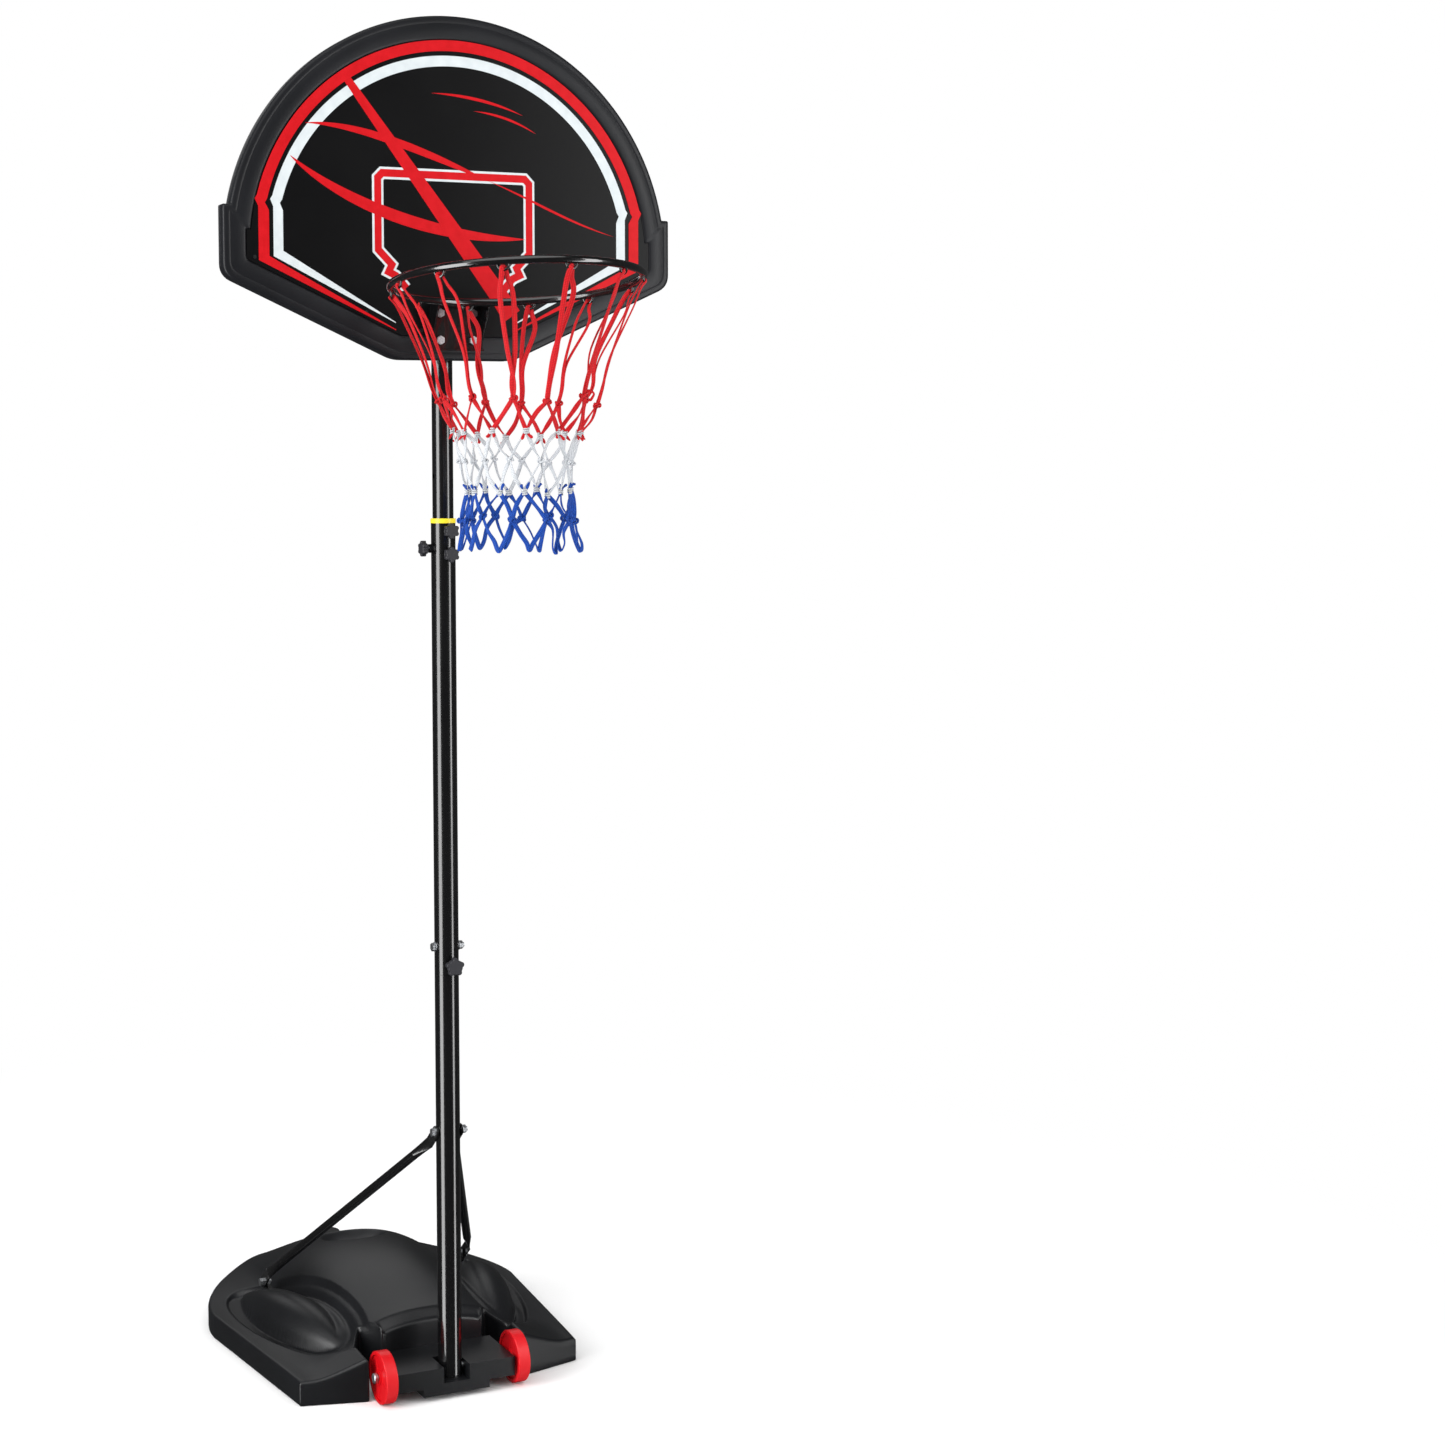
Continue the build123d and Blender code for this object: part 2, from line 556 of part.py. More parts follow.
def board_outline(inset=0.0):
    """A round arch over two square-shouldered wings that slope in to a short bottom edge."""
    half = [(BOARD_BOTTOM_HALF, BOARD_BOTTOM_Z), (BOARD_HALF, WING_LOW_Z), (BOARD_HALF, WING_TOP_Z)]
    corners = half + [(-x, z) for x, z in reversed(half)]
    wings = make_face(Polyline(*corners, close=True))
    arch = Pos(0, BOARD_TOP_Z - ARCH_R) * Circle(ARCH_R)
    arch &= Pos(0, WING_TOP_Z + ARCH_R / 2) * Rectangle(3 * ARCH_R, ARCH_R)
    outline = wings + arch
    low = [v for v in outline.vertices() if v.Y < WING_LOW_Z + 1]
    outline = fillet(low, 22.0)
    return offset(outline, -inset, kind=Kind.INTERSECTION) if inset else outline


def ring_bolt_places():
    return [(x, RING_BOLT_Z + z) for x in (-RING_BOLT_X, RING_BOLT_X)
            for z in (-RING_BOLT_HALF_Z, RING_BOLT_HALF_Z)]


def ring_bolt_bores(y0, y1):
    """Cutters for the ring's four bolts between two depths."""
    cutters = [rod(BOLT_R + HOLE_CLEARANCE, (x, y0, z), (x, y1, z)) for x, z in ring_bolt_places()]
    return cutters[0] + cutters[1:]


def board_frame():
    """A double-walled moulding: closed at the back, with a shallow pocket for the panel in front."""
    body = extrude(board_plane(BOARD_BACK_Y) * board_outline(), BOARD_T)
    pocket = board_plane(BOARD_FACE_Y + PANEL_T + PANEL_RECESS) * board_outline(PANEL_INSET - 0.2)
    body -= extrude(pocket, PANEL_T + PANEL_RECESS)
    inner_t = BOARD_T - PANEL_T - PANEL_RECESS - 2 * BOARD_WALL
    hollow = extrude(board_plane(BOARD_BACK_Y - BOARD_WALL) * board_outline(BOARD_WALL + 5), inner_t)
    hollow -= Pos(0, BOARD_BACK_Y, RING_BOLT_Z) * Box(2 * PLATE_HALF, 4 * BOARD_T, 90)
    body -= hollow
    for z in U_BOLT_ZS:
        for x in (-U_BOLT_HALF, U_BOLT_HALF):
            body -= rod(U_BOLT_R + 6, (x, BOARD_BACK_Y, z), (x, BOARD_BACK_Y - 14, z))
    return body - ring_bolt_bores(BOARD_BACK_Y + 1, BOARD_FACE_Y - 1)


def board_panel():
    """The flat playing face, let into the frame's pocket."""
    plane = board_plane(BOARD_FACE_Y + PANEL_T + PANEL_RECESS)
    panel = extrude(plane * board_outline(PANEL_INSET), PANEL_T)
    return panel - ring_bolt_bores(BOARD_BACK_Y, BOARD_FACE_Y - 1)


def panel_rivets():
    """Small plastic rivets that hold the panel in its pocket, spaced along its edge."""
    rivets = []
    wire = board_outline(PANEL_INSET + 9).wires()[0]
    y = BOARD_FACE_Y + PANEL_RECESS
    for i in range(RIVETS):
        p = wire.position_at((i + 0.5) / RIVETS)
        plane = board_plane(y)
        rivets.append((plane * Pos(p.X, p.Y, 0) * Cylinder(3.0, 0.8, align=LOW)).solid())
    return Compound(rivets)


RIVETS = 18
U_BOLT_R = 3.0
U_BOLT_HALF = UPPER_R + U_BOLT_R + 0.2
U_BOLT_ZS = (1935.0, 2085.0)
BRACKET_LOW_Z = 1812.0
BRACKET_HIGH_Z = 2120.0


def board_bracket():
    """The steel plate between the board and the mast, bolted to both."""
    height = BRACKET_HIGH_Z - BRACKET_LOW_Z
    middle_z = (BRACKET_HIGH_Z + BRACKET_LOW_Z) / 2
    plane = board_plane(BRACKET_BACK_Y)
    plate = extrude(plane * Pos(0, middle_z) * RectangleRounded(2 * BRACKET_HALF, height, 8), BRACKET_T)
    for side in (1, -1):
        rib = Pos(side * (BRACKET_HALF - BRACKET_T / 2), BRACKET_BACK_Y + 6, middle_z)
        plate += rib * Box(BRACKET_T, 12, height - 20)
    for z in U_BOLT_ZS:
        for x in (-U_BOLT_HALF, U_BOLT_HALF):
            plate -= rod(U_BOLT_R + HOLE_CLEARANCE, (x, BRACKET_BACK_Y + 1, z), (x, BOARD_BACK_Y - 1, z))
    return plate - ring_bolt_bores(BRACKET_BACK_Y + 1, BOARD_BACK_Y - 1)


def mast_saddles():
    """Moulded blocks with a round groove, between the bracket and the mast."""
    saddles = []
    groove = Pos(0, MAST_Y, (U_BOLT_ZS[0] + U_BOLT_ZS[1]) / 2) * Cylinder(UPPER_R, 900)
    for z in U_BOLT_ZS:
        depth = SADDLE_T + 7
        block = Pos(0, BRACKET_BACK_Y + depth / 2, z) * Box(2 * (U_BOLT_HALF - U_BOLT_R) - 1, depth, 30)
        saddles.append((block - groove).solid())
    return Compound(saddles)


def u_bolts():
    """Threaded U-bolts that hold the mast in its saddles."""
    bolts = []
    for z in U_BOLT_ZS:
        bend = Pos(0, MAST_Y, z) * Torus(U_BOLT_HALF, U_BOLT_R)
        bend &= Pos(0, MAST_Y + 50, z) * Box(200, 100, 40)
        end_y = BOARD_BACK_Y - 11
        for x in (-U_BOLT_HALF, U_BOLT_HALF):
            bend += rod(U_BOLT_R, (x, MAST_Y, z), (x, end_y, z))
        bolts.append(bend.solid())
    return Compound(bolts)


def u_bolt_nuts():
    """Nuts on the U-bolts' ends, in pockets in the board's back."""
    nuts = []
    for z in U_BOLT_ZS:
        for x in (-U_BOLT_HALF, U_BOLT_HALF):
            plane = Plane(origin=(x, BOARD_BACK_Y, z), z_dir=(0, -1, 0))
            nuts.append(plane * (hexagon(10.0, 5.0) - Cylinder(U_BOLT_R, 5.0, align=LOW)))
    return Compound(nuts)


# ---------------------------------------------------------------- ring and net
def ring_place():
    """Where the ring lies: its centre, lifted a little at the front."""
    return Pos(0, RING_Y, RING_Z) * Rot(-RING_RISE, 0, 0)


def ring():
    return ring_place() * Torus(RING_R, RING_WIRE_R)


def net_hooks():
    """Wire hooks under the ring, one for each top loop of the net."""
    hooks = []
    for i in range(HOOKS):
        bow = Rot(90, 0, 0) * Torus(HOOK_R, HOOK_WIRE_R)
        bow &= Pos(0, 0, -HOOK_R) * Box(4 * HOOK_R, 4 * HOOK_R, 2 * HOOK_R)
        place = ring_place() * Rot(0, 0, i * 360 / HOOKS) * Pos(0, RING_R, -RING_WIRE_R + 1.5)
        hooks.append((place * bow).solid())
    return Compound(hooks)


def ring_plate():
    """The folded steel plate that carries the ring: back plate, top shelf and two gussets."""
    face_y = BOARD_FACE_Y
    middle_z = (PLATE_LOW_Z + PLATE_HIGH_Z) / 2
    back = extrude(board_plane(face_y) * Pos(0, middle_z) * RectangleRounded(
        2 * PLATE_HALF, PLATE_HIGH_Z - PLATE_LOW_Z, 4), PLATE_T)
    rear_y = RING_Y + RING_R - 3
    shelf_z = PLATE_HIGH_Z - PLATE_T
    shelf = make_face(Polyline((-PLATE_HALF, face_y - 1), (PLATE_HALF, face_y - 1), (PLATE_HALF - 14, rear_y),
                               (-PLATE_HALF + 14, rear_y), close=True))
    back += Pos(0, 0, shelf_z) * extrude(shelf, PLATE_T)
    web = make_face(Polyline((face_y - 1, shelf_z + 1), (rear_y + 12, shelf_z + 1),
                             (face_y - 1, PLATE_LOW_Z + 6), close=True))
    for side in (1, -1):
        back += Pos(side * (PLATE_HALF - 2), 0, 0) * extrude(Plane.YZ * web, 1.5, both=True)
    lip = Pos(0, face_y - 5, PLATE_LOW_Z + 1.5) * Box(2 * PLATE_HALF, 10, 3)
    return (back + lip) - ring_bolt_bores(face_y + 1, face_y - 2 * PLATE_T)


def ring_bolts():
    """Four bolts through ring plate, board and bracket, heads in front."""
    bolts = []
    front_y = BOARD_FACE_Y - PLATE_T
    for x, z in ring_bolt_places():
        bolt = rod(BOLT_R, (x, front_y, z), (x, BRACKET_BACK_Y + NUT_T + 4, z))
        bolt += Plane(origin=(x, front_y, z), z_dir=(0, -1, 0)) * hexagon(NUT_AF, 5.3)
        bolts.append(bolt.solid())
    return Compound(bolts)


def ring_nuts():
    nuts = []
    for x, z in ring_bolt_places():
        plane = Plane(origin=(x, BRACKET_BACK_Y, z), z_dir=(0, 1, 0))
        nuts.append(plane * (hexagon(NUT_AF, NUT_T) - Cylinder(BOLT_R, NUT_T, align=LOW)))
    return Compound(nuts)


def net():
    """The net's hanging shape: a thin round sleeve, open above and below."""
    line = [(NET_TOP_R, NET_TOP_Z), (NET_KNOT_R, NET_KNOT_Z), (NET_WAIST_R, NET_WAIST_Z),
            (NET_BOTTOM_R, NET_BOTTOM_Z)]
    inner = [(r - NET_T, z) for r, z in reversed(line)]
    section = Plane.XZ * make_face(Polyline(*line, *inner, close=True))
    return Pos(0, RING_Y, 0) * revolve(section, Axis.Z, 360)


# ---------------------------------------------------------------- build
os.makedirs("parts", exist_ok=True)
save("base_tank", base_tank())
save("filler_ring", filler_ring())
save("mast_seat", mast_seat())
save("filler_cap", filler_cap())
save("filler_seal", filler_seal())
save("axle", axle())
save("axle_caps", axle_caps())
for side_name, side_sign in (("left", -1), ("right", 1)):
    save(f"wheel_{side_name}", wheel(side_sign))
    save(f"strut_{side_name}", strut(side_sign))
save("foot_clips", foot_clips())
save("foot_bolts", foot_bolts())
save("foot_nuts", foot_nuts())
save("lower_tube", lower_tube())
save("mast_foot", mast_foot())
save("middle_tube", middle_tube())
save("guide_collar", guide_collar())
save("upper_tube", upper_tube())
save("slide_foot", slide_foot())
save("mast_cap", mast_cap())
save("clamp_nuts", clamp_nuts())
KNOBS = (("clamp_knob_high", (0, -1), CLAMP_KNOB_ZS[0], CLAMP_KNOB_R, 6, UPPER_R + APART),
         ("clamp_knob_low", (0, -1), CLAMP_KNOB_ZS[1], CLAMP_KNOB_R, 6, UPPER_R + APART),
         ("side_knob", (-1, 0), SIDE_KNOB_Z, CLAMP_KNOB_R, 6, UPPER_R + APART),
         ("joint_knob", (0, -1), JOINT_KNOB_Z, JOINT_KNOB_R, 5, UPPER_R - 4.0))
for knob_name, way, knob_z, knob_r, lobe_count, tip in KNOBS:
    save(knob_name, star_knob(way, knob_z, knob_r, lobe_count))
    save(f"{knob_name}_stud", stud(way, knob_z, tip))
save("joint_bolt", cross_bolt(JOINT_BOLT_Z, LOWER_R + 1.5))
save("joint_nut", cross_nut(JOINT_BOLT_Z, LOWER_R + 1.5))
save("joint_washers", washers(JOINT_BOLT_Z, LOWER_R + 1.5))
save("strut_bolt", cross_bolt(STRUT_TOP_Z, STRUT_GRIP))
save("strut_nut", cross_nut(STRUT_TOP_Z, STRUT_GRIP))
save("strut_washers", washers(STRUT_TOP_Z, STRUT_GRIP))
save("board_frame", board_frame())
save("board_panel", board_panel())
save("panel_rivets", panel_rivets())
save("board_bracket", board_bracket())
save("mast_saddles", mast_saddles())
save("u_bolts", u_bolts())
save("u_bolt_nuts", u_bolt_nuts())
save("ring", ring())
save("net_hooks", net_hooks())
save("ring_plate", ring_plate())
save("ring_bolts", ring_bolts())
save("ring_nuts", ring_nuts())
save("net", net())
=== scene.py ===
# %% [markdown]
# # A portable basketball hoop
# The hoop stands on a hollow plastic base that is filled with water or sand. A steel mast in three
# tubes rises from it, two struts brace it, and an arched backboard carries the ring and the net.
# The engineered frame is loaded first, because every piece made here is placed from it.

# %% Load the frame
import json
import math
import bmesh
import bpy
import numpy as np
from mathutils import Matrix, Vector


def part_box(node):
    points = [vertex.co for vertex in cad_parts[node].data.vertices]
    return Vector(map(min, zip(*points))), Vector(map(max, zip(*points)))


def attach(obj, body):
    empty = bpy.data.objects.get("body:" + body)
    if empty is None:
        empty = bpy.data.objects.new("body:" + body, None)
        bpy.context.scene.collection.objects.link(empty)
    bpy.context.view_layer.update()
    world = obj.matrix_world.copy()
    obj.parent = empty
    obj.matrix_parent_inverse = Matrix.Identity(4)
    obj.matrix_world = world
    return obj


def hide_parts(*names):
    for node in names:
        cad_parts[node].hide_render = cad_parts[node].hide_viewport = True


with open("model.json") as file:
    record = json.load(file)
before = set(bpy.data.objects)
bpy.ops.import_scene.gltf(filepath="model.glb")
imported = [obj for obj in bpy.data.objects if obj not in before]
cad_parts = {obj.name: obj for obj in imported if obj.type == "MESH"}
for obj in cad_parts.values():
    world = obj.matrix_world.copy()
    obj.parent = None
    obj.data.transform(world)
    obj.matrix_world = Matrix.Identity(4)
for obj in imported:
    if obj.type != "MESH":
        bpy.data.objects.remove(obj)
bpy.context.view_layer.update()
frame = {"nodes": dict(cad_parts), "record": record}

nodes = frame["nodes"]

# %% [markdown]
# ## Camera and light
# The hoop is seen from its left front, a little below the height of the ring, so its upright lines
# stay nearly upright. A small sideways shift keeps it left of the middle without turning the camera.
# A white studio with two tall soft boxes gives each round tube its two long bright streaks.

# %% Camera
MM = 0.001
scene = bpy.context.scene
scene.view_settings.view_transform = "Standard"


def aim(position, azimuth, pitch, roll):
    """A camera matrix: the look direction turns by azimuth from +Y towards +X, tips by pitch, and
    the right and up directions turn about it by roll. Angles in degrees."""
    az, tip, turn = (math.radians(v) for v in (azimuth, pitch, roll))
    look = Vector((math.sin(az) * math.cos(tip), math.cos(az) * math.cos(tip), math.sin(tip)))
    level = Vector((math.cos(az), -math.sin(az), 0))
    up = level.cross(look)
    right = math.cos(turn) * level + math.sin(turn) * up
    top = -math.sin(turn) * level + math.cos(turn) * up
    matrix = Matrix((right, top, -look)).transposed().to_4x4()
    matrix.translation = position
    return matrix


camera_data = bpy.data.cameras.new("camera")
camera_data.lens, camera_data.sensor_width = 58.35, 36.0
camera_data.shift_x, camera_data.shift_y = 0.19, -0.07
camera = bpy.data.objects.new("camera", camera_data)
scene.collection.objects.link(camera)
camera.matrix_world = aim(Vector((-1.533, -4.071, 1.588)), 22.60, -3.42, -0.46)
scene.camera = camera
print("camera at", tuple(round(v, 2) for v in camera.location))

# %% Soft boxes and sky
MAST = Vector((0.0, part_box("lower_tube")[0].y + 0.021, 0.0))


def soft_box(name, azimuth, distance, height, width, tall, watts, tilt=0.0):
    """A rectangular lamp at an azimuth (degrees from -Y towards -X) round the mast, facing it."""
    a = math.radians(azimuth)
    data = bpy.data.lights.new(name, "AREA")
    data.shape, data.size, data.size_y, data.energy = "RECTANGLE", width, tall, watts
    lamp = bpy.data.objects.new(name, data)
    scene.collection.objects.link(lamp)
    lamp.location = (MAST.x - distance * math.sin(a), MAST.y - distance * math.cos(a), height)
    target = Vector((MAST.x, MAST.y, height + tilt))
    lamp.rotation_euler = (target - lamp.location).to_track_quat("-Z", "Y").to_euler()
    lamp.visible_camera = False
    return lamp


soft_box("left_box", 22.6 + 54, 3.4, 0.9, 1.9, 4.9, 200)
soft_box("right_box", 22.6 - 63, 3.4, 0.9, 0.95, 4.9, 95)
soft_box("back_box", 22.6 + 165, 3.6, 3.0, 3.4, 2.2, 20, -2.8)
sun_data = bpy.data.lights.new("ceiling", "SUN")
sun_data.energy, sun_data.angle = 1.45, math.radians(70)
ceiling = bpy.data.objects.new("ceiling", sun_data)
scene.collection.objects.link(ceiling)
ceiling.rotation_euler = (math.radians(24), math.radians(-16), 0)

world = bpy.data.worlds.new("studio")
scene.world = world
world.use_nodes = True
sky = world.node_tree
sky.nodes.clear()
path, sky_out = sky.nodes.new("ShaderNodeLightPath"), sky.nodes.new("ShaderNodeOutputWorld")


def layer(strength, below, ray):
    """A plain sky of one strength that only one kind of ray sees; other rays see what lies below."""
    plain = sky.nodes.new("ShaderNodeBackground")
    plain.inputs["Strength"].default_value = strength
    plain.inputs["Color"].default_value = (1, 1, 1, 1)
    if below is None:
        return plain.outputs["Background"]
    mix = sky.nodes.new("ShaderNodeMixShader")
    sky.links.new(path.outputs[ray], mix.inputs["Fac"])
    sky.links.new(below, mix.inputs[1])
    sky.links.new(plain.outputs["Background"], mix.inputs[2])
    return mix.outputs["Shader"]


light_sky = layer(0.36, None, None)
light_sky = layer(0.05, light_sky, "Is Glossy Ray")
sky.links.new(layer(1.0, light_sky, "Is Camera Ray"), sky_out.inputs["Surface"])

# %% [markdown]
# ## Helpers for materials
# A colour is written as it would be picked in a paint program, so one function turns it to the
# linear numbers that a shader wants. One more function adds a node, its settings and its links.

# %% Colours and nodes


def linear(hex_colour):
    """Each sRGB channel c becomes c / 12.92 below 0.04045 and ((c + 0.055) / 1.055) ** 2.4 above."""
    c = np.array([int(hex_colour[i:i + 2], 16) / 255 for i in (1, 3, 5)])
    c = np.where(c < 0.04045, c / 12.92, ((c + 0.055) / 1.055) ** 2.4)
    return (*(float(v) for v in c), 1.0)


def node(tree, kind, settings=None, **sockets):
    """Adds a node. A socket name may hold spaces as double underscores; a tuple (node, output) links."""
    n = tree.nodes.new(kind)
    for key, value in (settings or {}).items():
        setattr(n, key, value)
    for key, value in sockets.items():
        name = key.replace("__", " ")
        socket = n.inputs[int(name[1:])] if name[0] == "_" else n.inputs[name]
        if isinstance(value, tuple) and len(value) == 2 and not isinstance(value[0], (int, float)):
            tree.links.new(value[0].outputs[value[1]], socket)
        else:
            socket.default_value = value
    return n


def new_material(name, colour, **sockets):
    """A named material, its tree and its shader, with constants set on the shader's own sockets."""
    m = bpy.data.materials.new(name)
    m.use_nodes = True
    m.diffuse_color = linear(colour)
    tree = m.node_tree
    shader = tree.nodes["Principled BSDF"]
    shader.inputs["Base Color"].default_value = linear(colour)
    for key, value in sockets.items():
        shader.inputs[key.replace("__", " ")].default_value = value
    return m, tree, shader


def ramp(tree, source, low, high, low_colour, high_colour):
    """Blends two colours as a grey value runs from low to high."""
    r = node(tree, "ShaderNodeValToRGB", Fac=source)
    r.color_ramp.elements[0].position, r.color_ramp.elements[1].position = low, high
    r.color_ramp.elements[0].color, r.color_ramp.elements[1].color = low_colour, high_colour
    return r


def span(tree, source, low, high):
    """Spreads a grey value over a range of numbers."""
    return node(tree, "ShaderNodeMapRange", None, Value=source, To__Min=low, To__Max=high)

# %% [markdown]
# ## Plastics and metals
# The base and the board's frame are blow-moulded polyethylene: satin, with a fine grain from the
# mould. The tubes and the ring are steel with a glossy black powder coat, which has a slight orange
# peel. The bolts are zinc plated. Wheels, collar and knobs are injection-moulded.

# %% Moulded polyethylene


def moulded(name, colour, light, roughness, grain_mm, grain_depth, cloud_mm=180.0, gloss=0.4):
    """Satin plastic: grain as a bump of grain_mm, slow clouds in colour and roughness, and a share of
    the usual mirror light set by gloss."""
    m, tree, shader = new_material(name, colour, Roughness=roughness, IOR=1.5, Specular__IOR__Level=gloss)
    place = node(tree, "ShaderNodeTexCoord")
    grain = node(tree, "ShaderNodeTexNoise", None, Vector=(place, "Object"), Scale=1000 / grain_mm,
                 Detail=2.0, Roughness=0.6)
    clouds = node(tree, "ShaderNodeTexNoise", None, Vector=(place, "Object"), Scale=1000 / cloud_mm,
                  Detail=3.0, Roughness=0.55)
    tint = ramp(tree, (clouds, "Fac"), 0.35, 0.7, linear(colour), linear(light))
    tree.links.new(tint.outputs["Color"], shader.inputs["Base Color"])
    rough = span(tree, (clouds, "Fac"), roughness - 0.06, roughness + 0.08)
    tree.links.new(rough.outputs["Result"], shader.inputs["Roughness"])
    bump = node(tree, "ShaderNodeBump", None, Height=(grain, "Fac"), Distance=grain_depth * MM,
                Strength=0.5)
    tree.links.new(bump.outputs["Normal"], shader.inputs["Normal"])
    return m


base_plastic = moulded("polyethylene_base", "#111214", "#17181b", 0.36, 1.6, 0.22, gloss=0.5)
frame_plastic = moulded("polyethylene_board", "#141518", "#1a1b1f", 0.40, 1.8, 0.22, gloss=0.3)
panel_plastic = moulded("panel_sheet", "#0a0a0b", "#0e0e0f", 0.30, 2.5, 0.04, 300.0, 0.14)
knob_plastic = moulded("nylon_knob", "#232327", "#2b2b30", 0.48, 1.2, 0.20)
cap_plastic = moulded("polypropylene_cap", "#141415", "#1a1a1b", 0.42, 1.4, 0.15)
wheel_plastic = moulded("polypropylene_wheel", "#c80c16", "#d2141e", 0.34, 1.5, 0.10)
collar_plastic = moulded("acetal_collar", "#efd726", "#f4df3c", 0.35, 1.5, 0.06)
seal_rubber = moulded("rubber_seal", "#101010", "#161616", 0.62, 1.0, 0.15)
print("moulded plastics ready")

# %% Powder coat and zinc


def powder_coat(name, colour, coat_ior):
    """Glossy black powder coat: a clear top layer over black, with orange peel about 4 mm wide."""
    m, tree, shader = new_material(name, colour, Roughness=0.22, IOR=1.45, Coat__Weight=1.0,
                                   Coat__Roughness=0.06, Coat__IOR=coat_ior)
    place = node(tree, "ShaderNodeTexCoord")
    peel = node(tree, "ShaderNodeTexNoise", None, Vector=(place, "Object"), Scale=240.0, Detail=1.0)
    clouds = node(tree, "ShaderNodeTexNoise", None, Vector=(place, "Object"), Scale=9.0, Detail=2.0)
    rough = span(tree, (clouds, "Fac"), 0.16, 0.30)
    tree.links.new(rough.outputs["Result"], shader.inputs["Roughness"])
    bump = node(tree, "ShaderNodeBump", None, Height=(peel, "Fac"), Distance=0.03 * MM, Strength=0.08)
    tree.links.new(bump.outputs["Normal"], shader.inputs["Normal"])
    tree.links.new(bump.outputs["Normal"], shader.inputs["Coat Normal"])
    return m


def zinc_plate(name):
    """Bright zinc: a bluish-white metal, faintly mottled by the plating bath."""
    m, tree, shader = new_material(name, "#c9ccd0", Metallic=1.0, Roughness=0.38)
    place = node(tree, "ShaderNodeTexCoord")
    mottle = node(tree, "ShaderNodeTexNoise", None, Vector=(place, "Object"), Scale=350.0, Detail=3.0)
    tint = ramp(tree, (mottle, "Fac"), 0.35, 0.65, linear("#b4b8bd"), linear("#dcdee0"))
    tree.links.new(tint.outputs["Color"], shader.inputs["Base Color"])
    rough = span(tree, (mottle, "Fac"), 0.30, 0.48)
    tree.links.new(rough.outputs["Result"], shader.inputs["Roughness"])
    return m


mast_coat = powder_coat("powder_coat_mast", "#0b0b0c", 1.45)
ring_coat = powder_coat("powder_coat_ring", "#0a0a0b", 1.6)
zinc = zinc_plate("zinc_plate")

# %% Printed lines and net cord


def printed(name, colour, light):
    """Screen-printed ink: smooth and flat, with a slight unevenness in its coverage."""
    m, tree, shader = new_material(name, colour, Roughness=0.42, IOR=1.5, Specular__IOR__Level=0.12)
    place = node(tree, "ShaderNodeTexCoord")
    cover = node(tree, "ShaderNodeTexNoise", None, Vector=(place, "Object"), Scale=60.0, Detail=4.0)
    tint = ramp(tree, (cover, "Fac"), 0.3, 0.7, linear(colour), linear(light))
    tree.links.new(tint.outputs["Color"], shader.inputs["Base Color"])
    return m


def braid(name, colour, shade):
    """Braided nylon: two crossing sets of slanted ribs on the cord's own map, u along, v around. The low
    parts between the ribs take the colour shade, a painted shade in the weave's grooves.
    """
    m, tree, shader = new_material(name, colour, Roughness=0.62, Sheen__Weight=0.08, IOR=1.5,
                                   Specular__IOR__Level=0.2)
    uv = node(tree, "ShaderNodeUVMap", {"uv_map": "cord"})
    split = node(tree, "ShaderNodeSeparateXYZ", None, Vector=(uv, "UV"))
    ribs = []
    for way in (1.0, -1.0):
        slant = node(tree, "ShaderNodeMath", {"operation": "MULTIPLY_ADD"}, _0=(split, "Y"), _1=way * 4.0,
                     _2=(split, "X"))
        turn = node(tree, "ShaderNodeMath", {"operation": "MULTIPLY"}, _0=(slant, "Value"), _1=2 * math.pi)
        ribs.append(node(tree, "ShaderNodeMath", {"operation": "SINE"}, _0=(turn, "Value")))
    weave = node(tree, "ShaderNodeMath", {"operation": "MULTIPLY"}, _0=(ribs[0], "Value"),
                 _1=(ribs[1], "Value"))
    tint = ramp(tree, (weave, "Value"), 0.0, 0.5, linear(shade), linear(colour))
    tree.links.new(tint.outputs["Color"], shader.inputs["Base Color"])
    bump = node(tree, "ShaderNodeBump", None, Height=(weave, "Value"), Distance=0.3 * MM, Strength=0.6)
    tree.links.new(bump.outputs["Normal"], shader.inputs["Normal"])
    return m


red_ink = printed("ink_red", "#bd0c15", "#c8111b")
white_ink = printed("ink_white", "#c8d0d3", "#d3dadc")
# The second colour of each cord is the painted shade laid into the grooves of its braid.
red_cord = braid("nylon_cord_red", "#d80f1b", "#a90812")
white_cord = braid("nylon_cord_white", "#d8dbde", "#b0b4b9")
blue_cord = braid("nylon_cord_blue", "#1352b4", "#0a3486")
print("materials", len(bpy.data.materials))

# %% [markdown]
# ## Meshes from arrays
# Every new piece is worked out as arrays of points. A grid of points needs only one function to
# join its rows and columns with four-sided faces, whether it is open or closes on itself.

# %% Mesh helpers


def grid_faces(index, close_rows=False, close_columns=False):
    """Quads between neighbouring entries of a table of point numbers, skipping entries of -1."""
    t = index
    if close_rows:
        t = np.vstack([t, t[:1]])
    if close_columns:
        t = np.hstack([t, t[:, :1]])
    quads = np.stack([t[:-1, :-1], t[:-1, 1:], t[1:, 1:], t[1:, :-1]], -1).reshape(-1, 4)
    return quads[(quads >= 0).all(1)]


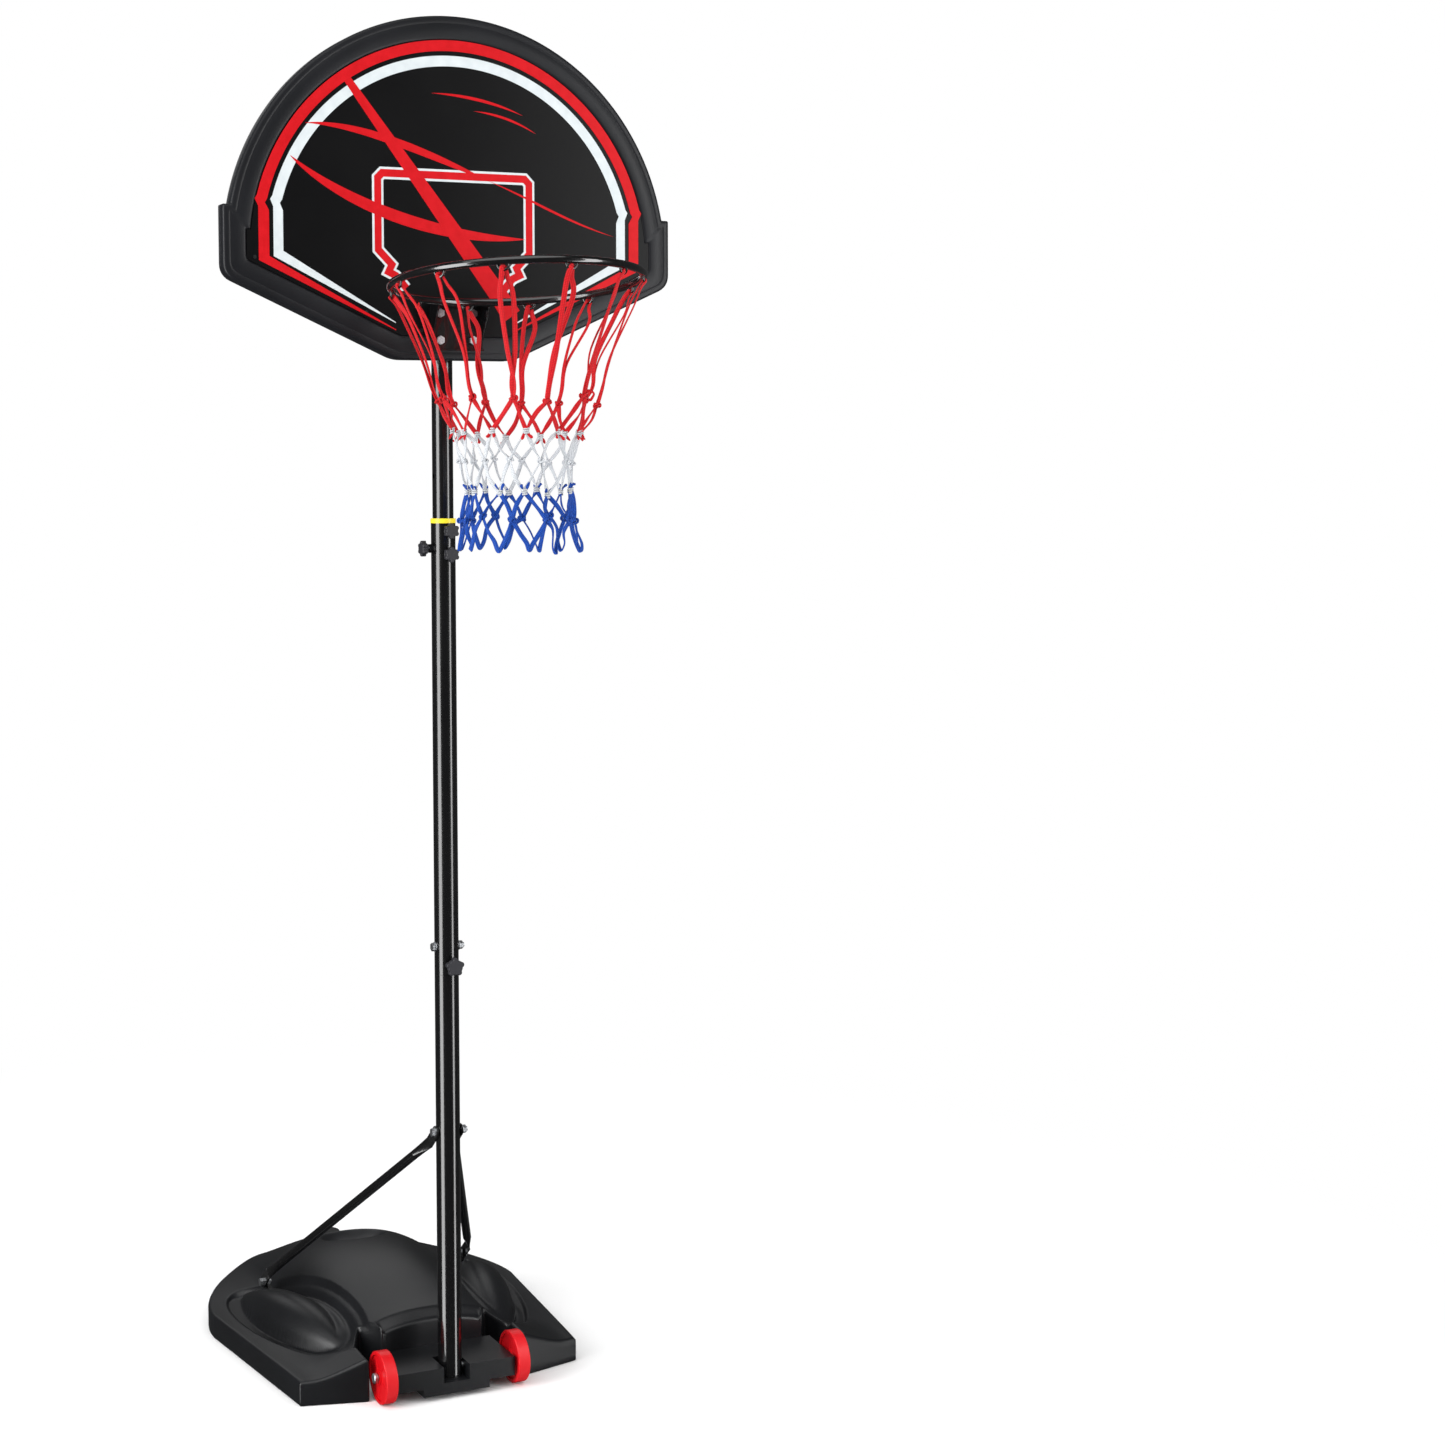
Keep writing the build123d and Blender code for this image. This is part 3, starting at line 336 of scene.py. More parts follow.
def make_piece(name, points_mm, faces, material, body, smooth=True, more_faces=()):
    """Puts points (mm) and faces into a mesh object, turns its faces outwards, shades it, and lets it
    ride on a body."""
    mesh = bpy.data.meshes.new(name)
    every_face = faces.tolist() + [list(f) for f in more_faces]
    mesh.from_pydata((np.asarray(points_mm) * MM).tolist(), [], every_face)
    mesh.validate()
    closed = bmesh.new()
    closed.from_mesh(mesh)
    bmesh.ops.recalc_face_normals(closed, faces=closed.faces)
    closed.to_mesh(mesh)
    closed.free()
    mesh.polygons.foreach_set("use_smooth", np.full(len(mesh.polygons), smooth))
    mesh.update()
    piece = bpy.data.objects.new(name, mesh)
    scene.collection.objects.link(piece)
    for m in material if isinstance(material, list) else [material]:
        mesh.materials.append(m)
    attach(piece, body)
    print(name, len(mesh.vertices), "points", len(mesh.polygons), "faces")
    return piece


def along(points, count):
    """count + 1 points spaced evenly by length along a line of points."""
    points = np.asarray(points, float)
    steps = np.r_[0, np.cumsum(np.linalg.norm(np.diff(points, axis=0), axis=1))]
    wanted = np.linspace(0, steps[-1], count + 1)
    return np.stack([np.interp(wanted, steps, points[:, k]) for k in range(points.shape[1])], 1)


def ease(low, high, value):
    """0 below low, 1 above high, and 3 t^2 - 2 t^3 between them."""
    t = np.clip((value - low) / (high - low), 0, 1)
    return t * t * (3 - 2 * t)


def soft_min(a, b, k):
    """The lower of two heights, rounded over a blend of k."""
    h = np.clip(0.5 + 0.5 * (b - a) / k, 0, 1)
    return b * (1 - h) + a * h - k * h * (1 - h)


def soft_max(a, b, k):
    return -soft_min(-a, -b, k)

# %% [markdown]
# ## The base
# The real base is blown in one piece: an upright skirt, side decks that rise to a long dome, an
# upright hood in front of it, two legs that reach past the wheels, a long hump on each deck and a
# round dish. Its top is worked out as a height over its plan. The plan is a grid fitted to the
# outline, and the outline's loops then carry the rolled edge, the skirt and the underside.

# %% Plan of the base
LENGTH, FRONT_HALF, WIDE_HALF, LEG_BOW = 660.0, 263.0, 304.0, 28.0
BAY_HALF, HOOD_BACK, NOTCH = 146.0, 40.0, 50.0
FRONT_Y = -LENGTH / 2
ACROSS_LEG, ACROSS_HOOD, ALONG_LEG, ALONG_SIDE = 46, 132, 30, 230


def bezier(points, t):
    """(1-t)^3 A + 3 t (1-t)^2 B + 3 t^2 (1-t) C + t^3 D."""
    a, b, c, d = (np.array(p, float) for p in points)
    t = t[:, None]
    return (1 - t)**3 * a + 3 * t * (1 - t)**2 * b + 3 * t * t * (1 - t) * c + t**3 * d


def plan_grid(inset):
    """Rows from front to back, columns from left to right, of the plan moved inwards by inset.

    Each leg is a straight blend between its front edge and the hood line. The rest is a Coons
    patch: the blend of two opposite edges, plus that of the other two, less that of the corners.
    """
    front_y, back_y, wide_y = FRONT_Y + inset, -FRONT_Y - inset, FRONT_Y + LENGTH * 0.56
    front, wide, bay = FRONT_HALF - inset, WIDE_HALF - inset, BAY_HALF + inset
    hood_y = front_y + HOOD_BACK
    hood_x = front + (wide - front) * (hood_y - front_y) / (wide_y - front_y)
    curve = bezier([(wide, wide_y), (wide + 6, wide_y + 105), (wide * 0.66, back_y), (0, back_y)],
                   np.linspace(0, 1, 400))
    side = along(np.vstack([[(hood_x, hood_y)], [(wide, wide_y)], curve[1:200]]), ALONG_SIDE)
    half_back = along(curve[199:], ACROSS_LEG + ACROSS_HOOD // 2)
    mirror = np.array([-1.0, 1.0])
    back = np.vstack([half_back * mirror, half_back[-2::-1]])
    hood = along([(-bay, hood_y), (bay, hood_y)], ACROSS_HOOD)
    spread = np.abs(np.abs(hood[:, 0]) - (BAY_HALF + 96) / 2) / ((BAY_HALF - 96) / 2)
    hood[:, 1] += NOTCH * np.clip(1 - spread, 0, 1) ** 0.8
    right_line = along([(bay, hood_y), (hood_x, hood_y)], ACROSS_LEG)
    line = np.vstack([right_line[::-1] * mirror, hood[1:-1], right_line])
    columns, rows = len(line), ALONG_LEG + ALONG_SIDE + 1
    u, v = np.linspace(0, 1, columns)[None, :, None], np.linspace(0, 1, ALONG_SIDE + 1)[:, None, None]
    main = ((1 - v) * line[None] + v * back[None] + (1 - u) * (side * mirror)[:, None] + u * side[:, None]
            - (1 - u) * (1 - v) * line[0] - u * (1 - v) * line[-1] - (1 - u) * v * back[0] - u * v * back[-1])
    toe = along([(bay, front_y - LEG_BOW), (front, front_y)], ACROSS_LEG)
    w = np.linspace(0, 1, ALONG_LEG + 1)[:-1, None, None]
    leg = (1 - w) * toe[None] + w * right_line[None]
    grid = np.full((rows, columns, 2), np.nan)
    grid[ALONG_LEG:] = main
    grid[:ALONG_LEG, -ACROSS_LEG - 1:] = leg
    grid[:ALONG_LEG, :ACROSS_LEG + 1] = leg[:, ::-1] * mirror
    return grid


def rim(grid):
    """The grid's outer points in order: left toe, bay and hood, right toe, right side, back, left side."""
    a, b, q = ACROSS_LEG, ACROSS_LEG + ACROSS_HOOD, ALONG_LEG
    return np.concatenate([grid[0, :a], grid[:q, a], grid[q, a:b], grid[q:0:-1, b], grid[0, b:-1],
                           grid[:-1, -1], grid[-1, :0:-1], grid[:0:-1, 0]])

# %% Height of the base


def through(places, heights, even=False):
    """The polynomial through some heights; an even one uses only even powers."""
    places, heights = np.array(places, float) / 100, np.array(heights, float)
    powers = np.arange(len(places)) * (2 if even else 1)
    weights = np.linalg.solve(places[:, None] ** powers, heights)
    return lambda p: ((p[..., None] / 100) ** powers) @ weights


EDGE_LEVEL, DECK_SWELL, DOME_SWELL = 40.0, 46.0, 110.0
deck_side = through([FRONT_Y - 33, FRONT_Y + 120, FRONT_Y + 330, FRONT_Y + 540, 335], [42, 62, 74, 60, 42])
deck_front = through([0, 170, 250, 300], [86, 76, 50, 40], even=True)
dome_side = through([FRONT_Y + 39, FRONT_Y + 290, FRONT_Y + 450, FRONT_Y + 570, 330], [116, 150, 140, 99, 46])
DOME_EDGE = 225.0
dome_front = through([0, 90, 150, DOME_EDGE], [150, 134, 96, 40], even=True)
HUMP_X, HUMP_Y, HUMP_HALF, HUMP_R, HUMP_LEVEL = 186.0, FRONT_Y + 250, 190.0, 52.0, 50.0
SEAT_X, SEAT_Y, SEAT_Z = 203.0, 52.0, 76.0
DISH_Y, DISH_RADIUS, DISH_RIM, DISH_DEEP = FRONT_Y + 455, 65.0, 134.0, 25.0
FILLER_Y, FILLER_Z = FRONT_Y + 592, 86.0


def base_height(x, y):
    """Height over the plan, in mm.

    The deck's rise above its edge is a curve along y times one across x, and so is the dome's;
    their soft maximum is the body. An oval moat sinks each deck by 9 and a hump, an arc of circle turned
    about its own chord, swells in it. The dish is a ball's underside, sqrt(R^2 - r^2) below its
    centre. Pockets and the filler's ring are level places with steep sides.
    """
    x = np.abs(x)
    deck = EDGE_LEVEL + (deck_side(y) - EDGE_LEVEL) * (deck_front(x) - EDGE_LEVEL) / DECK_SWELL
    deck = deck + 22 * (1 - ease(150, 250, x)) * (1 - ease(-300, -210, y))
    across = dome_front(np.minimum(x, DOME_EDGE)) - EDGE_LEVEL
    dome = EDGE_LEVEL + (dome_side(y) - EDGE_LEVEL) * across / DOME_SWELL
    z = soft_max(deck, dome, 12)
    z = z - 15 * (1 - ease(FRONT_Y + HOOD_BACK, FRONT_Y + HOOD_BACK + 24, y)) * (1 - ease(92, 104, x))
    turn = math.radians(90 - 12.4)
    a = (x - HUMP_X) * math.cos(turn) + (y - HUMP_Y) * math.sin(turn)
    b = -(x - HUMP_X) * math.sin(turn) + (y - HUMP_Y) * math.cos(turn)
    moat = np.sqrt(((a + 4) / 222)**2 + ((b + 2) / 72)**2)
    z = z - 9 * (1 - ease(0.93, 1.0, moat))
    arc_r = (HUMP_HALF**2 + HUMP_R**2) / (2 * HUMP_R)
    swell = np.sqrt(np.maximum(arc_r**2 - a * a, 0)) - (arc_r - HUMP_R)
    hump = HUMP_LEVEL + np.sqrt(np.maximum(swell**2 - b * b, 0)) - 3 * np.maximum(np.abs(b) - swell, 0)
    oval = np.sqrt((a / 172)**2 + (b / 47)**2)
    z = z - 7 * np.exp(-((oval - 1) * 45 / 4.5)**2)
    z = soft_max(z, hump, 4)
    z = np.maximum(z, 41)
    ball = (DISH_RADIUS**2 + DISH_DEEP**2) / (2 * DISH_DEEP)
    r = np.hypot(x, y - DISH_Y)
    scoop = DISH_RIM - DISH_DEEP + ball - np.sqrt(np.maximum(ball**2 - r * r, 1))
    z = soft_min(z, scoop + 40 * ease(85, 95, r), 3)
    r = np.hypot(x - SEAT_X, y - SEAT_Y)
    z = np.minimum(z, SEAT_Z + np.maximum(r - 22, 0) * 6)
    r = np.hypot(x, y - FILLER_Y)
    return z + (FILLER_Z - z) * (1 - ease(26.5, 29, r))

# %% Base shell
ROLL, FOOT = 6.0, 4.0


def base_shell():
    """The height grid, then loops of the outline round the rolled edge, down the skirt, and under."""
    grid = plan_grid(ROLL)
    inside = ~np.isnan(grid[..., 0])
    index = np.full(inside.shape, -1)
    index[inside] = np.arange(inside.sum())
    top = grid[inside]
    z = base_height(top[:, 0], top[:, 1])
    points = [np.column_stack([top, z])]
    loop = rim(index)
    edge_z = z[loop]
    loops = [loop]
    count = len(top)
    turns = np.radians([67.5, 45, 22.5, 0])
    rows = [(ROLL * (1 - math.cos(t)), lambda e, t=t: e - ROLL + ROLL * math.sin(t)) for t in turns]
    rows += [(0, lambda e, f=f: FOOT + (e - ROLL - FOOT) * f) for f in (0.75, 0.5, 0.25, 0)]
    rows += [(FOOT * (1 - math.cos(t)), lambda e, t=t: e * 0 + FOOT * (1 - math.sin(t)))
             for t in np.radians([30, 60, 90])]
    for inset, height in rows:
        ring = rim(plan_grid(inset))
        points.append(np.column_stack([ring, height(edge_z)]))
        loops.append(np.arange(count, count + len(ring)))
        count += len(ring)
    faces = np.vstack([grid_faces(index), grid_faces(np.array(loops), close_columns=True)])
    return make_piece("base_shell", np.vstack(points), faces, base_plastic, "base",
                      more_faces=[loops[-1][::-1]])


shell = base_shell()
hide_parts("base_tank", "filler_ring")

# %% [markdown]
# ## The backboard
# The board's frame is a double-walled moulding: an arch that drops onto two square-shouldered wings.
# It is made as loops of the same outline, each moved inwards a little and forwards or backwards,
# so the loops draw the back, the rolled sides, the raised border and the pocket for the panel.

# %% Outline of the board
BOARD_HALF, BOARD_LOW, BOARD_TOP, BOTTOM_HALF = 404.0, 1791.0, 2361.0, 107.0
WING_LOW, WING_TOP, ARCH_R = 1923.0, 2037.0, 398.0
FACE_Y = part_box("board_panel")[0].y / MM - 1.0
BACK_Y = FACE_Y + 30.0


def round_corner(before, corner, after, cut, count=7):
    """(1-t)^2 A + 2 t (1-t) B + t^2 C, where A and C lie `cut` from the corner B."""
    before, corner, after = (np.array(p, float) for p in (before, corner, after))
    a = corner + (before - corner) / np.linalg.norm(before - corner) * cut
    c = corner + (after - corner) / np.linalg.norm(after - corner) * cut
    t = np.linspace(0, 1, count)[:, None]
    return (1 - t)**2 * a + 2 * t * (1 - t) * corner + t * t * c


def board_outline(d):
    """The outline moved inwards by d, from the bottom's middle up the right side and down the left."""
    slope = np.array([BOARD_HALF - BOTTOM_HALF, WING_LOW - BOARD_LOW])
    slope = slope / np.linalg.norm(slope)
    normal = np.array([-slope[1], slope[0]])
    start = np.array([BOTTOM_HALF, BOARD_LOW]) + normal * d
    low_x = start[0] + slope[0] / slope[1] * (BOARD_LOW + d - start[1])
    side_x = BOARD_HALF - d
    wing_z = start[1] + slope[1] / slope[0] * (side_x - start[0])
    radius, centre = ARCH_R - d, BOARD_TOP - ARCH_R
    top_z = WING_TOP - d
    notch_x = math.sqrt(radius**2 - (top_z - centre)**2)
    corners = [(0, BOARD_LOW + d), (low_x, BOARD_LOW + d), (side_x, wing_z), (side_x, top_z),
               (notch_x, top_z)]
    cuts = [max(14 - d * 0.2, 3), max(20 - d * 0.3, 4), 3.0, 2.5]
    start_a = math.asin((top_z - centre) / radius)
    angles = np.linspace(start_a + 3 / radius, math.pi / 2, 90)
    arch = np.column_stack([radius * np.cos(angles), centre + radius * np.sin(angles)])
    after = corners[2:] + [arch[0]]
    half = [along([corners[0], (corners[1][0] - cuts[0], corners[1][1])], 10)[:-1]]
    for i in range(4):
        bend = round_corner(corners[i], corners[i + 1], after[i], cuts[i])
        half.append(bend)
        if i < 3:
            back = np.array(corners[i + 1]) - corners[i + 2]
            end = np.array(corners[i + 2]) + back / np.linalg.norm(back) * cuts[i + 1]
            half.append(along([bend[-1], end], (14, 8, 2)[i])[1:-1])
    right = np.vstack(half + [arch])
    return np.vstack([right, (right * [-1, 1])[-2:0:-1]])

# %% Board frame
PROFILE = [(30, 0.0), (28, 0.0), (26, 2.5), (14, 2.5), (12, 0.0), (5.0, 0.0), (2.4, 0.7), (0.7, 2.4),
           (0.0, 5.0), (0.0, 12.0), (0.0, 25.0), (0.7, 27.6), (2.4, 29.3), (5.0, 30.0), (9.0, 30.2),
           (11.0, 30.2), (12.0, 29.7), (13.2, 29.7), (14.2, 30.2), (28.0, 30.2), (34.5, 30.0),
           (37.5, 29.4), (39.3, 28.0), (39.8, 26.2), (39.8, 25.0)]


def board_frame_piece():
    """Each pair is (move inwards, distance in front of the back face); the ends close as flat faces."""
    loops = [np.insert(board_outline(d), 1, BACK_Y - forward, axis=1) for d, forward in PROFILE]
    size = len(loops[0])
    index = np.arange(size * len(loops)).reshape(len(loops), size)
    return make_piece("board_shell", np.vstack(loops), grid_faces(index, close_columns=True),
                      frame_plastic, "slide", more_faces=[index[0], index[-1][::-1]])


board_shell = board_frame_piece()
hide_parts("board_frame")

# %% [markdown]
# ## Printed lines
# The panel carries a red and a white line that follow the arch, then drop straight and run in to a
# point, the shooter's square, and a few plain strokes. Each is a very thin closed strip that stands
# a fraction of a millimetre proud of the panel, as thick ink does.

# %% Strips of ink
INK_Y = FACE_Y + 1.0


def strip(name, left, right, thick, ink):
    """A closed strip between two lines of points (x, z) of equal count, from the panel forwards."""
    left, right = np.asarray(left, float), np.asarray(right, float)
    count = len(left)
    y0, y1 = INK_Y + 0.3, INK_Y - thick
    corners = [np.insert(line, 1, y, axis=1)
               for line, y in ((left, y0), (left, y1), (right, y1), (right, y0))]
    index = np.arange(4 * count).reshape(4, count)
    faces = grid_faces(index, close_rows=True)
    return make_piece(name, np.vstack(corners), faces, ink, "slide", smooth=False,
                      more_faces=[index[:, 0][::-1], index[:, -1]])


def arch_line(radius, arch_low, side_x, bottom_z, tip_z):
    """Down the right: an arch, a small notch, a straight drop, then a slanting run to a point."""
    centre = BOARD_TOP - ARCH_R
    arch_x = math.sqrt(radius**2 - (arch_low - centre)**2)
    angles = np.linspace(math.pi / 2, math.asin((arch_low - centre) / radius), 90)
    right = np.vstack([np.column_stack([radius * np.cos(angles), centre + radius * np.sin(angles)]),
                       [(arch_x + 4.0, arch_low - 6), (side_x, arch_low - 18), (side_x, bottom_z)],
                       along([(side_x, bottom_z), (BOTTOM_HALF, tip_z)], 8)[1:]])
    return np.vstack([(right * [-1, 1])[::-1], right[1:]])


strip("line_red", arch_line(357.5, 2053, 344, 1948, 1839), arch_line(339.5, 2047, 326, 1955, 1840.5),
      0.9, red_ink)
strip("line_white", arch_line(332, 2053, 318.5, 1955, 1851), arch_line(314.5, 2047, 302, 1964, 1852.5),
      0.35, white_ink)


def offset_line(path, distance):
    """Moves a line of points sideways; at a corner the move is lengthened by 1 / cos(half the turn)."""
    path = np.asarray(path, float)
    way = np.diff(path, axis=0)
    way /= np.linalg.norm(way, axis=1)[:, None]
    before, after = np.vstack([way[:1], way]), np.vstack([way, way[-1:]])
    normal = np.column_stack([-(before + after)[:, 1], (before + after)[:, 0]])
    normal /= np.linalg.norm(normal, axis=1)[:, None]
    side = np.column_stack([-before[:, 1], before[:, 0]])
    stretch = 1 / np.maximum((normal * side).sum(1), 0.45)
    return path + normal * np.asarray(distance).reshape(-1, 1) * stretch[:, None]


HALF_SQUARE = [(0, 2097), (129, 2097), (137, 2089), (137, 1971), (113, 1947), (119, 1935), (106, 1929),
               (88, 1909)]
square = np.array([(-x, z) for x, z in HALF_SQUARE[:0:-1]] + HALF_SQUARE, float)
strip("square_white", offset_line(square, 10.0), offset_line(square, -10.0), 0.30, white_ink)
strip("square_red", offset_line(square, 6.2), offset_line(square, -6.2), 0.55, red_ink)


def stroke(name, points, widest, thick=0.45, power=1.0):
    """A brush stroke on a smooth line: its width is widest * (4 t (1 - t)) ** power along its length."""
    line = along(bezier(points, np.linspace(0, 1, 60)), 48)
    t = np.linspace(0.004, 0.996, 49)
    width = widest * (4 * t * (1 - t))**power
    return strip(name, offset_line(line, width / 2), offset_line(line, -width / 2), thick, red_ink)


bar = np.array([(-188.0, 2246.0), (81.0, 1899.0), (104.0, 1866.0)])
strip("bar_red", offset_line(bar, [6.5, 16.5, 17.5]), offset_line(bar, [-6.5, -16.5, -17.5]), 0.7, red_ink)
stroke("sweep_low", [(-288, 2118), (-220, 2060), (-60, 1990), (128, 1996)], 20, 0.6, 0.8)
stroke("sweep_high", [(-262, 2172), (-170, 2178), (-40, 2130), (60, 2092)], 13, 0.6, 0.9)
stroke("arc_one", [(-40, 2232), (20, 2232), (78, 2222), (126, 2203)], 5)
stroke("arc_two", [(36, 2206), (78, 2204), (118, 2192), (150, 2174)], 4)
stroke("arc_three", [(60, 2092), (140, 2066), (200, 2030), (296, 2006)], 4)

# %% [markdown]
# ## The net
# A net this size is tied from twelve loops of flat braided nylon: red for the long top strands,
# white for the middle and blue for the bottom. Each loop goes over a hook and comes down as two
# strands to one knot. From there the cords part and meet half-way between the hooks, row by row, so
# they make diamonds, and the last row hangs in open loops. Every cord is a flat tube carried along
# a smooth curve through its own few points.

# %% Places of the knots
RING_MIDDLE = (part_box("ring")[0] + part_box("ring")[1]) / 2 / MM
HOOKS, RING_RADIUS, RISE = 12, 200.0, math.radians(5)
LOOP_LOW, NET_LOW = 1474.0, 1469.0
rng = np.random.default_rng(7)


def around(step, radius, z, wander=0.0):
    """Points at a radius and height z, `step` hooks round from the board, moved at random by about
    wander."""
    angle = np.asarray(step, float) * 2 * math.pi / HOOKS
    p = np.stack([-radius * np.sin(angle), radius * np.cos(angle) + RING_MIDDLE.y, z + 0 * angle], -1)
    return p + rng.normal(0, 1, p.shape) * wander * np.array([1, 1, 0.9])


def on_ring(step, outward, side, drop):
    """A point by a hook, in the ring's own tilted plane: outward from the ring, sideways and below."""
    angle = step * 2 * math.pi / HOOKS
    out = np.array([-math.sin(angle), math.cos(angle), 0])
    tangent = np.array([-math.cos(angle), -math.sin(angle), 0])
    p = out * (RING_RADIUS + outward) + tangent * side
    return np.array([p[0], RING_MIDDLE.y + p[1] * math.cos(RISE) + drop * math.sin(RISE),
                     RING_MIDDLE.z - p[1] * math.sin(RISE) + drop * math.cos(RISE)])


steps = np.arange(HOOKS)
halves = steps + 0.5
red_knots = around(steps, 124, 1717, 5)
red_ties = around(halves, 101, 1664, 3)
white_knots = around(steps, 90, 1620, 3.5)
white_ties = around(halves, 83, 1570, 3)
blue_knots = around(steps, 89, 1527, 4)
loop_lows = around(halves, 97, 1478, 3.5)
loop_lows[:, 2] = np.maximum(loop_lows[:, 2], LOOP_LOW)
print("knots", 3 * HOOKS, "ties", 2 * HOOKS)

# %% Flat braided cords
SIDES, RIB_LENGTH, TIP = 8, 5.0, 0.45


def smooth_line(points, per_span=8):
    """A Catmull-Rom curve: each span's cubic passes its two points, and its slope at a point is half
    the step between that point's neighbours."""
    p = np.asarray(points, float)
    p = np.vstack([2 * p[0] - p[1], p, 2 * p[-1] - p[-2]])
    t = np.linspace(0, 1, per_span, endpoint=False)[:, None, None]
    a, b, c, d = p[:-3], p[1:-2], p[2:-1], p[3:]
    spans = 0.5 * (2 * b + (c - a) * t + (2 * a - 5 * b + 4 * c - d) * t**2 + (3 * b - 3 * c + d - a) * t**3)
    return np.vstack([spans.transpose(1, 0, 2).reshape(-1, 3), p[-2:-1]])


class Cords:
    """Collects tubes, their colours and their maps, so that the whole net is one mesh."""

    def __init__(self):
        self.points, self.faces, self.inks, self.maps, self.count = [], [], [], [], 0

    def add(self, line, ink, wide=6.0, thick=2.4, twist=0.0, per_span=8, smooth=True):
        """A tube whose cross-section is an ellipse, wide by thick, flat towards the net's axis.

        Its side direction is the line's direction crossed with the way out from the axis, turned
        about the line by an angle that grows by twist. Each end shrinks to a small closed tip.
        """
        line = smooth_line(line, per_span) if smooth else np.asarray(line, float)
        rows = len(line)
        way = np.gradient(line, axis=0)
        way /= np.linalg.norm(way, axis=1)[:, None] + 1e-9
        out = line - np.array([0, RING_MIDDLE.y, 0])
        out[:, 2] = 0.001
        out -= (out * way).sum(1)[:, None] * way
        out /= np.linalg.norm(out, axis=1)[:, None] + 1e-9
        side = np.cross(way, out)
        turn = (np.linspace(0, twist, rows) + 0.5 * np.sin(np.linspace(0, 5, rows) + twist * 3))[:, None]
        side, out = side * np.cos(turn) + out * np.sin(turn), out * np.cos(turn) - side * np.sin(turn)
        size = np.ones(rows)
        size[0] = size[-1] = TIP
        angle = np.linspace(0, 2 * math.pi, SIDES, endpoint=False)[None, :, None]
        ring = (line[:, None] + size[:, None, None] * (wide / 2 * np.cos(angle) * side[:, None]
                                                       + thick / 2 * np.sin(angle) * out[:, None]))
        index = np.arange(rows * SIDES).reshape(rows, SIDES)
        quads = grid_faces(index, close_columns=True)[:, ::-1]
        length = np.r_[0, np.cumsum(np.linalg.norm(np.diff(line, axis=0), axis=1))]
        u, v = np.repeat(np.arange(rows - 1), SIDES), np.tile(np.arange(SIDES), rows - 1)
        corner_u = np.stack([length[u + 1], length[u + 1], length[u], length[u]], 1) / RIB_LENGTH
        corner_v = np.stack([v, v + 1, v + 1, v], 1) / SIDES
        self.maps.append(np.stack([corner_u, corner_v], -1).reshape(-1, 2))
        self.points.append(ring.reshape(-1, 3))
        self.faces.append(quads + self.count)
        self.inks.append(np.full(len(quads), ink))
        fan = np.array([[0, 1, 2, 3], [0, 3, 4, 7], [4, 5, 6, 7]])
        ends = np.vstack([index[0][fan], index[-1][::-1][fan]])
        self.faces.append(ends + self.count)
        self.inks.append(np.full(len(ends), ink))
        self.maps.append(np.zeros((len(ends) * 4, 2)))
        self.count += rows * SIDES

    def knot(self, centre, ink, size=5.5, wide=4.6):
        """An overhand knot on the closed curve (sin t + 2 sin 2t, cos t - 2 cos 2t, -1.3 sin 3t)."""
        t = np.linspace(0, 2 * math.pi, 26)
        shape = np.column_stack([np.sin(t) + 2 * np.sin(2 * t), np.cos(t) - 2 * np.cos(2 * t),
                                 -1.3 * np.sin(3 * t)]) / 3
        spin = Matrix.Rotation(rng.uniform(0, 6), 3, "Z") @ Matrix.Rotation(rng.uniform(-0.8, 0.8), 3, "X")
        self.add(centre + shape @ np.array(spin).T * size, ink, wide, 3.6, smooth=False)

    def tuft(self, start, direction, ink, length=11.0):
        """A cord's cut end, left sticking out of its tie."""
        d = np.array(direction, float)
        bend = rng.normal(0, 1.5, 3)
        self.add([start, start + d * length * 0.5, start + d * length + bend], ink, 5.0, 2.6, per_span=4)


cords = Cords()
RED, WHITE, BLUE = 0, 1, 2

# %% Red strands
for i in range(HOOKS):
    knot = red_knots[i]
    over = [on_ring(i, -3, 2.0, -11.5), on_ring(i, 0, 0, -10.6), on_ring(i, 3, -2.0, -11.5)]
    down, up = [], []
    for way, strand in ((1, down), (-1, up)):
        hook = on_ring(i, -9 - 3 * way, 4.5 * way, -24)
        low = on_ring(i, -23 - 5 * way, 9.0 * way + rng.normal(0, 2), -52)
        mid = (hook * 0.42 + knot * 0.58) + np.array([*rng.normal(0, 3.5, 2), 0])
        mid[:2] += (knot[:2] - hook[:2]) * 0.10
        near = hook * 0.14 + knot * 0.86 + np.array([*rng.normal(0, 1.5, 2), 0])
        strand += [near, mid, low, hook]
    line = [knot + [0, 0, 2]] + down + over + up[::-1] + [knot + [0, 0, -2]]
    cords.add(line, RED, 8.2, 2.6, twist=rng.normal(0, 0.8), per_span=6)
    cords.knot(knot, RED, 6.0)
    for tie in (red_ties[i], red_ties[i - 1]):
        middle = (knot + tie) / 2 + rng.normal(0, 2.5, 3)
        cords.add([knot, middle, tie], RED, 7.6, 2.8, twist=rng.normal(0, 1.2))
    if i % 5 == 2:
        cords.add([knot, knot + [6, -5, 8], knot + [14, -7, 3], knot + [9, -4, -8]], RED, 4.6, 2.4)

